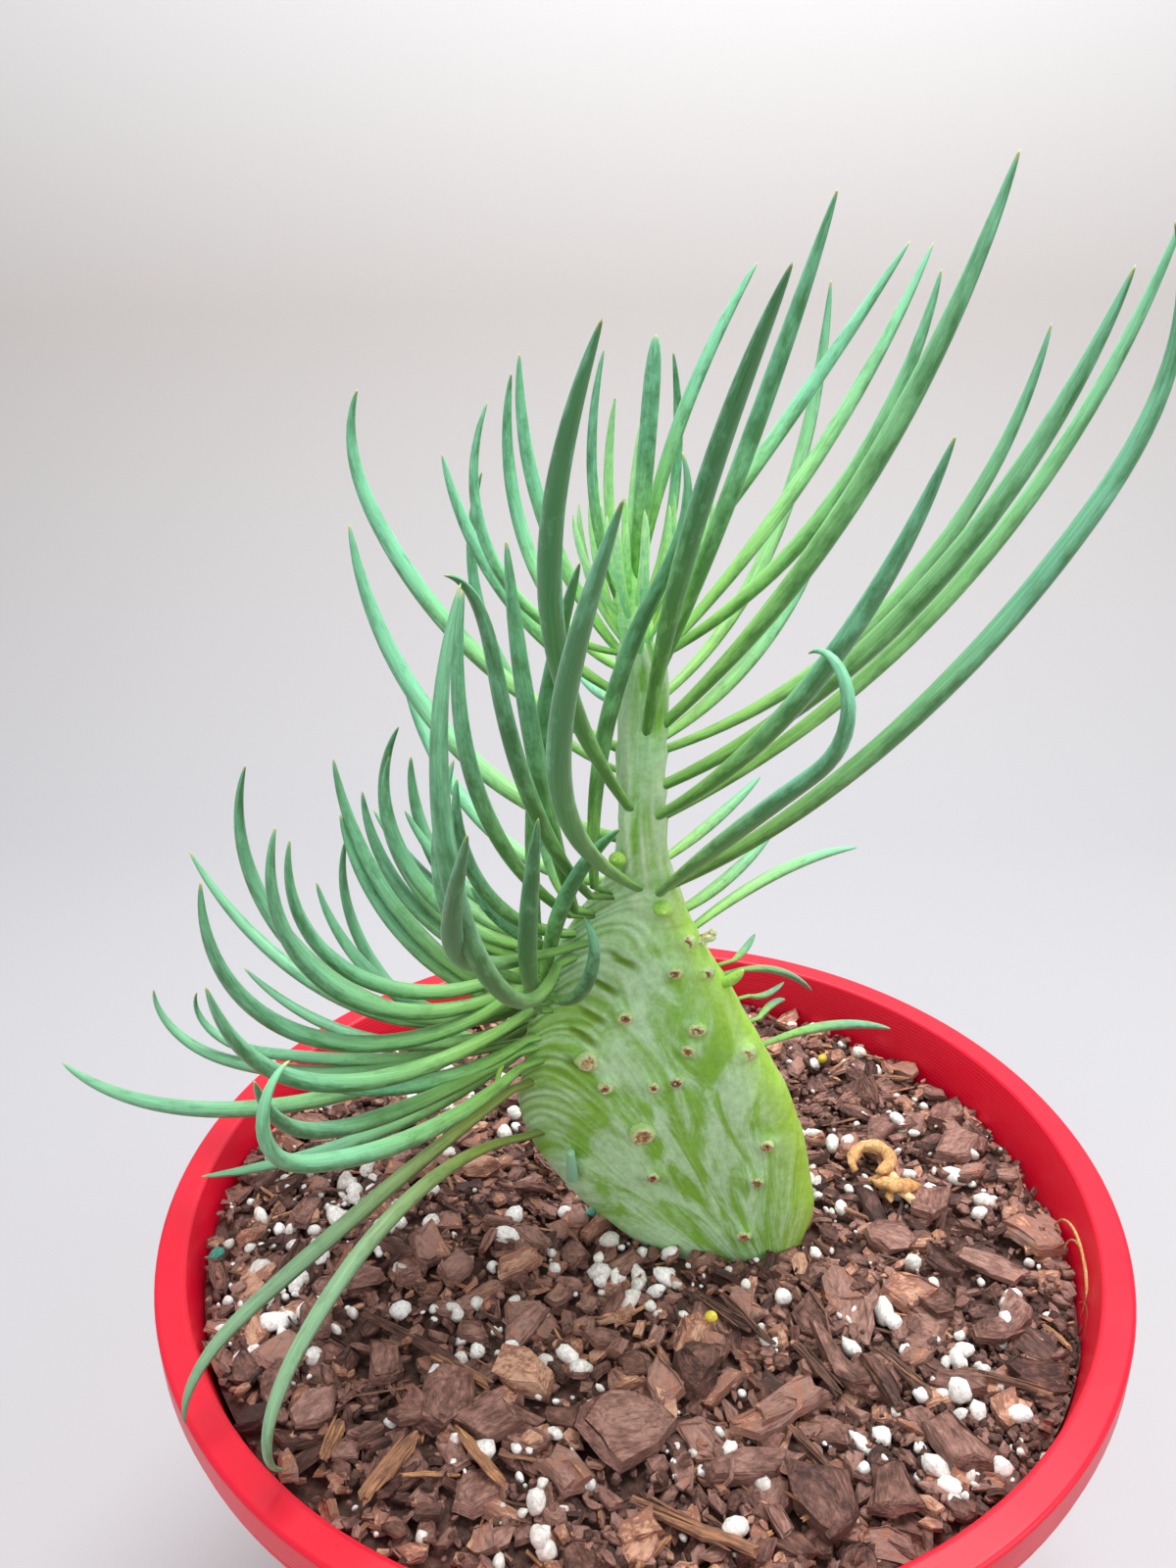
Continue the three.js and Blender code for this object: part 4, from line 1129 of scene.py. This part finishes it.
def lying(x, y, lift, tilt, turn=None):
    """The place of a bit on the mix, tilted at random and turned at random or as told."""
    spin = random.uniform(0, 2 * math.pi) if turn is None else math.radians(turn)
    return (Matrix.Translation((x, y, mix_level(x, y) + lift))
            @ Matrix.Rotation(spin, 4, "Z")
            @ Matrix.Rotation(random.uniform(-tilt, tilt), 4, "X")
            @ Matrix.Rotation(random.uniform(-tilt, tilt), 4, "Y"))


def in_stem(x, y, room):
    """True on the ground that the stem's foot takes, in metres."""
    left, right, thickness = at_height(STEM_SLICES, -9)
    across = (x / MM - (left + right) / 2) / ((right - left) / 2 + room / MM)
    deep = (y - PLANT_Y) / MM / (thickness / 2 + room / MM)
    return across ** 2 + deep ** 2 < 1


def ground(reach):
    """A random place on the mix, clear of the wall and the stem's foot."""
    while True:
        far = (inner_radius(POT_HEIGHT - MIX_BELOW_RIM) - reach) * math.sqrt(random.random())
        angle = random.uniform(0, 2 * math.pi)
        x, y = far * math.cos(angle), far * math.sin(angle)
        if not in_stem(x, y, reach * 0.6):
            return x, y


def soil_bed(soil):
    """Dark fine soil that fills the pot up to the chips."""
    wall = inner_radius(POT_HEIGHT - MIX_BELOW_RIM) - 0.4 * MM
    low = FLOOR + 0.3 * MM
    profile = [(0, low), (FOOT_RADIUS - WALL - 0.4 * MM, low), (wall, POT_HEIGHT)]
    profile += between(profile[-1], (0, POT_HEIGHT), 60)
    bm = bits()
    spun(bm, profile, 120)
    for vert in bm.verts:
        if vert.co.z > POT_HEIGHT / 2:
            x, y, _ = vert.co
            rise = 0.7 * MM * noise.noise(Vector((x, y, 0)) / (4 * MM))
            rise += 0.5 * MM * noise.noise(Vector((x, y, 5)) / (1.4 * MM))
            vert.co.z = mix_level(x, y) - 0.9 * MM + rise
            press_in(vert)
        vert[bm.verts.layers.float_vector["grain"]] = vert.co
        vert[bm.verts.layers.float["tone"]] = 0.3
    place_piece("soil_bed", bm, [soil], ["potting_mix"])


def soil_crumbs(soil):
    """Crumbs of soil between the chips, thickest at the front right."""
    bm = bits()
    heap_x, heap_y, spread = CRUMB_HEAP
    for i in range(CRUMBS):
        x, y = ground(0.5 * MM)
        if i % 3 == 0:
            x, y = random.gauss(heap_x, spread) * MM, random.gauss(heap_y, spread) * MM
        one = lump(random.uniform(0.3, 1) * MM, 0.7, 1)
        place_bit(bm, one, lying(x, y, random.uniform(-0.2, 1.6) * MM, 1.5))
    place_piece("soil_crumbs", bm, [soil], smooth=False)


def bark_chips(name, count, lengths, bark, lift, marked=()):
    """Flakes of bark at random, and marked ones where they are told."""
    bm = bits()
    shortest, longest = lengths
    for _ in range(count):
        length = shortest + (longest - shortest) * random.random() ** 1.7
        width = length * random.uniform(0.35, 0.85)
        thickness = random.uniform(0.05, 0.14) * length + 0.25
        one = bark_chip(length * MM, width * MM, thickness * MM, 1 + (length > 5))
        x, y = ground(min(length * 0.3, 1.5) * MM)
        tilt = 0.9 if random.random() < 0.25 else 0.32
        place_bit(bm, one, lying(x, y, random.uniform(-0.4, lift) * MM, tilt))
    for x, y, length, width, turn, thickness, tone in marked:
        one = bark_chip(length * MM, width * MM, thickness * 0.65 * MM, 2)
        place_bit(bm, one, lying(x * MM, y * MM, 2.9 * MM, 0.15, turn), tone)
    place_piece(name, bm, [bark], smooth=False)


def bark_strips(torn):
    """Torn strips at random, and marked ones with torn fibres along their tops."""
    bm = bits()
    for _ in range(STRIPS):
        length = random.uniform(2.5, 9)
        one = splinter(length * MM, random.uniform(0.35, 1.1) * MM)
        x, y = ground(length * 0.4 * MM)
        place_bit(bm, one, lying(x, y, random.uniform(0, 2.4) * MM, 0.35))
    for x, y, length, width, turn, tone in MARKED_STRIPS:
        one = splinter(length * 0.85 * MM, width * MM)
        place_bit(bm, one, lying(x * MM, y * MM, 3 * MM, 0.06, turn), tone)
        for k in range(FIBRES):
            aside = (k - (FIBRES - 1) / 2) * width * 0.24
            one = splinter(length * random.uniform(0.4, 0.9) * MM, width * 0.22 * MM)
            spot = (x * MM - aside * math.sin(math.radians(turn)) * MM,
                    y * MM + aside * math.cos(math.radians(turn)) * MM)
            place_bit(bm, one, lying(*spot, random.uniform(3.2, 3.8) * MM, 0.05,
                                     turn + random.uniform(-4, 4)),
                      tone + random.uniform(-0.2, 0.2))
    place_piece("bark_strips", bm, [torn], smooth=False)


def perlite_grains(count, white):
    """Grains of perlite, two in five of them near a nest."""
    bm = bits()
    for i in range(count):
        radius = 0.35 + 1.6 * random.random() ** 2.4
        x, y = ground(2 * MM)
        if i % 5 < 2:
            nest = random.choice(PERLITE_NESTS)
            near = [(c + random.gauss(0, NEST_SPREAD)) * MM for c in nest]
            if not in_stem(*near, 1 * MM):
                x, y = near
        one = lump(radius * MM, 0.34)
        place_bit(bm, one, lying(x, y, (random.uniform(0.2, 1.6) + radius * 0.5) * MM, 1.5))
    place_piece("perlite_grains", bm, [white])


def odd_bits():
    """Two yellow feed prills, two teal specks, a curled dry leaf and a root fibre."""
    yellow = dry_matter("coated_feed_prill", ((0, "#C9B22E"), (1, "#E2CF4A")),
                        0.8 * MM, 0.4, 0.05 * MM)
    teal = dry_matter("teal_grit", ((0, "#2E7F6E"), (1, "#5FA592")), 0.6 * MM, 0.6, 0.1 * MM)
    dry = dry_matter("dried_leaf", ((0, "#A4713C"), (0.5, "#D6A46A"), (1, "#EFCB9C")),
                     0.8 * MM, 0.7, 0.3 * MM)
    for name, skin, ragged, lift, places in (
            ("feed_prills", yellow, 0.1, 4.4, ((12.8, -31.1), (43.9, 49.2))),
            ("teal_grit", teal, 0.6, 2.6, ((-78, -18.8), (-8.6, -3.8)))):
        bm = bits()
        for x, y in places:
            place_bit(bm, lump(1.2 * MM, ragged), lying(x * MM, y * MM, lift * MM, 0.5))
        place_piece(name, bm, [skin], smooth=skin is yellow)
    blank = leaf_blank()
    bm = bits()
    level = mix_level(0.047, 0.01) + 3.4 * MM
    for x, y, z, *shape in DRIED_LEAF:
        one = leafy_bmesh(blank)
        add_leaf(one, blank, 0, Vector((x * MM, y * MM, level + z * MM)), *shape)
        for vert in one.verts:
            vert.co += Vector([0.5 * MM * noise.noise(vert.co / (1.6 * MM) + Vector(k))
                               for k in ((0, 0, 0), (9, 0, 0), (0, 9, 0))])
        place_bit(bm, one, Matrix())
    place_piece("dried_leaf", bm, [dry])
    # The fibre climbs the wall on the right and comes down again
    bm = bits()
    for y, rise, end, length, width in ROOT_FIBRE:
        one = leafy_bmesh(blank)
        start = Vector((ROOT_X * MM, y * MM, mix_level(0.08, -0.01) + 1.5 * MM))
        add_leaf(one, blank, 0, start, ROOT_BEARING, rise, end, length, width, ROOT_SWING)
        place_bit(bm, one, Matrix())
    place_piece("root_fibre", bm, [dry])
    bpy.data.meshes.remove(blank)


class CREST_OT_potting_mix(bpy.types.Operator):
    """Make the potting mix: fine soil, bark chips, strips, perlite and a few odd bits"""
    bl_idname = "crest.potting_mix"
    bl_label = "Potting Mix"

    def execute(self, context):
        settings = context.scene.crest_mix
        random.seed(settings.seed)
        soil = dry_matter("fine_dark_soil", (
            (0, "#452E27"), (0.5, "#6A4C43"), (1, "#8E6C60")), 1 * MM, 0.9, 0.6 * MM)
        bark = dry_matter("pine_bark", (
            (0, "#442B25"), (0.22, "#6E4A3F"), (0.45, "#8F665A"), (0.64, "#A67F73"),
            (0.8, "#A26A52"), (0.95, "#CB9C82")), 0.8 * MM, 0.5, 0.7 * MM, (0.4, 1, 3))
        torn = dry_matter("torn_bark_fibre", (
            (0, "#46302A"), (0.4, "#7C5747"), (0.8, "#AE7C58"), (1, "#CF9B6A")),
            0.4 * MM, 0.75, 0.5 * MM, (0.06, 1, 1))
        white = dry_matter("expanded_perlite", (
            (0, "#D5D0C8"), (0.5, "#ECE9E4"), (1, "#F7F5F2")), 0.7 * MM, 0.9, 0.2 * MM)
        soil_bed(soil)
        soil_crumbs(soil)
        bark_chips("small_bark_chips", settings.small_chips, (1.3, 6), bark, 1.9)
        bark_chips("large_bark_chips", settings.big_chips, (5.5, 11), bark, 2.4, MARKED_CHIPS)
        bark_strips(torn)
        perlite_grains(settings.grains, white)
        odd_bits()
        return {"FINISHED"}


class CREST_OT_stage(bpy.types.Operator):
    """Make the floor, the lights and the camera"""
    bl_idname = "crest.stage"
    bl_label = "Stage"

    def execute(self, context):
        settings = context.scene.crest_stage
        bm = bmesh.new()
        floor_end = SWEEP_BACK - SWEEP_BEND
        profile = [(SWEEP_FRONT, 0), (floor_end, 0)]
        profile += [(floor_end + SWEEP_BEND * y, SWEEP_BEND - SWEEP_BEND * x)
                    for x, y in quarter_turn(16)[1:]]
        profile += [(SWEEP_BACK, SWEEP_TOP)]
        edge = [bm.verts.new((-SWEEP_WIDTH / 2, y, z)) for y, z in profile]
        lines = [bm.edges.new(pair) for pair in zip(edge, edge[1:])]
        pulled = bmesh.ops.extrude_edge_only(bm, edges=lines)["geom"]
        bmesh.ops.translate(bm, vec=(SWEEP_WIDTH, 0, 0),
                            verts=[g for g in pulled if isinstance(g, bmesh.types.BMVert)])
        bmesh.ops.recalc_face_normals(bm, faces=bm.faces)
        smoothed(bm)
        sweep = put_in_scene("studio_sweep", mesh_from(bm, "studio_sweep"))
        sweep.data.materials.append(plain_stage())

        world = bpy.data.worlds.new("soft_room")
        context.scene.world = world
        world.use_nodes = True
        feed(world.node_tree.nodes["Background"],
             {"Color": linear("#F2F0F2"), "Strength": 0.64})
        for name, (place, size, share) in LIGHTS.items():
            light = bpy.data.lights.new(name, "AREA")
            light.shape = "DISK"
            light.size = size
            light.energy = settings.strength * share
            turn = (LIGHT_AIM - Vector(place)).to_track_quat("-Z", "Y").to_matrix().to_4x4()
            put_in_scene(name, light).matrix_world = Matrix.Translation(place) @ turn

        camera = bpy.data.cameras.new("photo_camera")
        camera.sensor_fit = "HORIZONTAL"
        camera.sensor_width = 36
        camera.lens = settings.lens
        camera.clip_start = 0.01
        holder = put_in_scene("photo_camera", camera)
        turn = Matrix((CAMERA_RIGHT, CAMERA_UP, CAMERA_RIGHT.cross(CAMERA_UP))).transposed()
        holder.matrix_world = Matrix.Translation(CAMERA_PLACE) @ turn.to_4x4()
        context.scene.camera = holder
        # A plain picture keeps the plastic and the leaves as vivid as they are
        context.scene.view_settings.view_transform = "Standard"
        return {"FINISHED"}


class CREST_PT_panel(bpy.types.Panel):
    """Lists the plant's settings and pieces"""
    bl_idname = "CREST_PT_panel"
    bl_label = "Crested Plant"
    bl_space_type = "VIEW_3D"
    bl_region_type = "UI"
    bl_category = "Crested Plant"

    def draw(self, context):
        for name in SETTINGS:
            group = getattr(context.scene, name)
            for prop in group.__annotations__:
                self.layout.prop(group, prop)
        for operator in OPERATORS:
            self.layout.operator(operator.bl_idname)


SETTINGS = {"crest_pot": PotSettings, "crest_plant": PlantSettings, "crest_mix": MixSettings,
            "crest_stage": StageSettings}
OPERATORS = (CREST_OT_pot, CREST_OT_potting_mix, CREST_OT_stem, CREST_OT_scars,
             CREST_OT_crest_leaves, CREST_OT_growing_tip, CREST_OT_shoot_leaves,
             CREST_OT_stage)


def register():
    for cls in (*SETTINGS.values(), *OPERATORS, CREST_PT_panel):
        bpy.utils.register_class(cls)
    for name, cls in SETTINGS.items():
        setattr(bpy.types.Scene, name, PointerProperty(type=cls))


def unregister():
    for name in SETTINGS:
        delattr(bpy.types.Scene, name)
    for cls in (CREST_PT_panel, *reversed(OPERATORS), *reversed(SETTINGS.values())):
        bpy.utils.unregister_class(cls)


def main():
    register()
    bpy.ops.crest.pot()
    bpy.ops.crest.potting_mix()
    bpy.ops.crest.stem()
    bpy.ops.crest.scars()
    bpy.ops.crest.crest_leaves()
    bpy.ops.crest.growing_tip()
    bpy.ops.crest.shoot_leaves()
    bpy.ops.crest.stage()


if __name__ == "__main__":
    main()
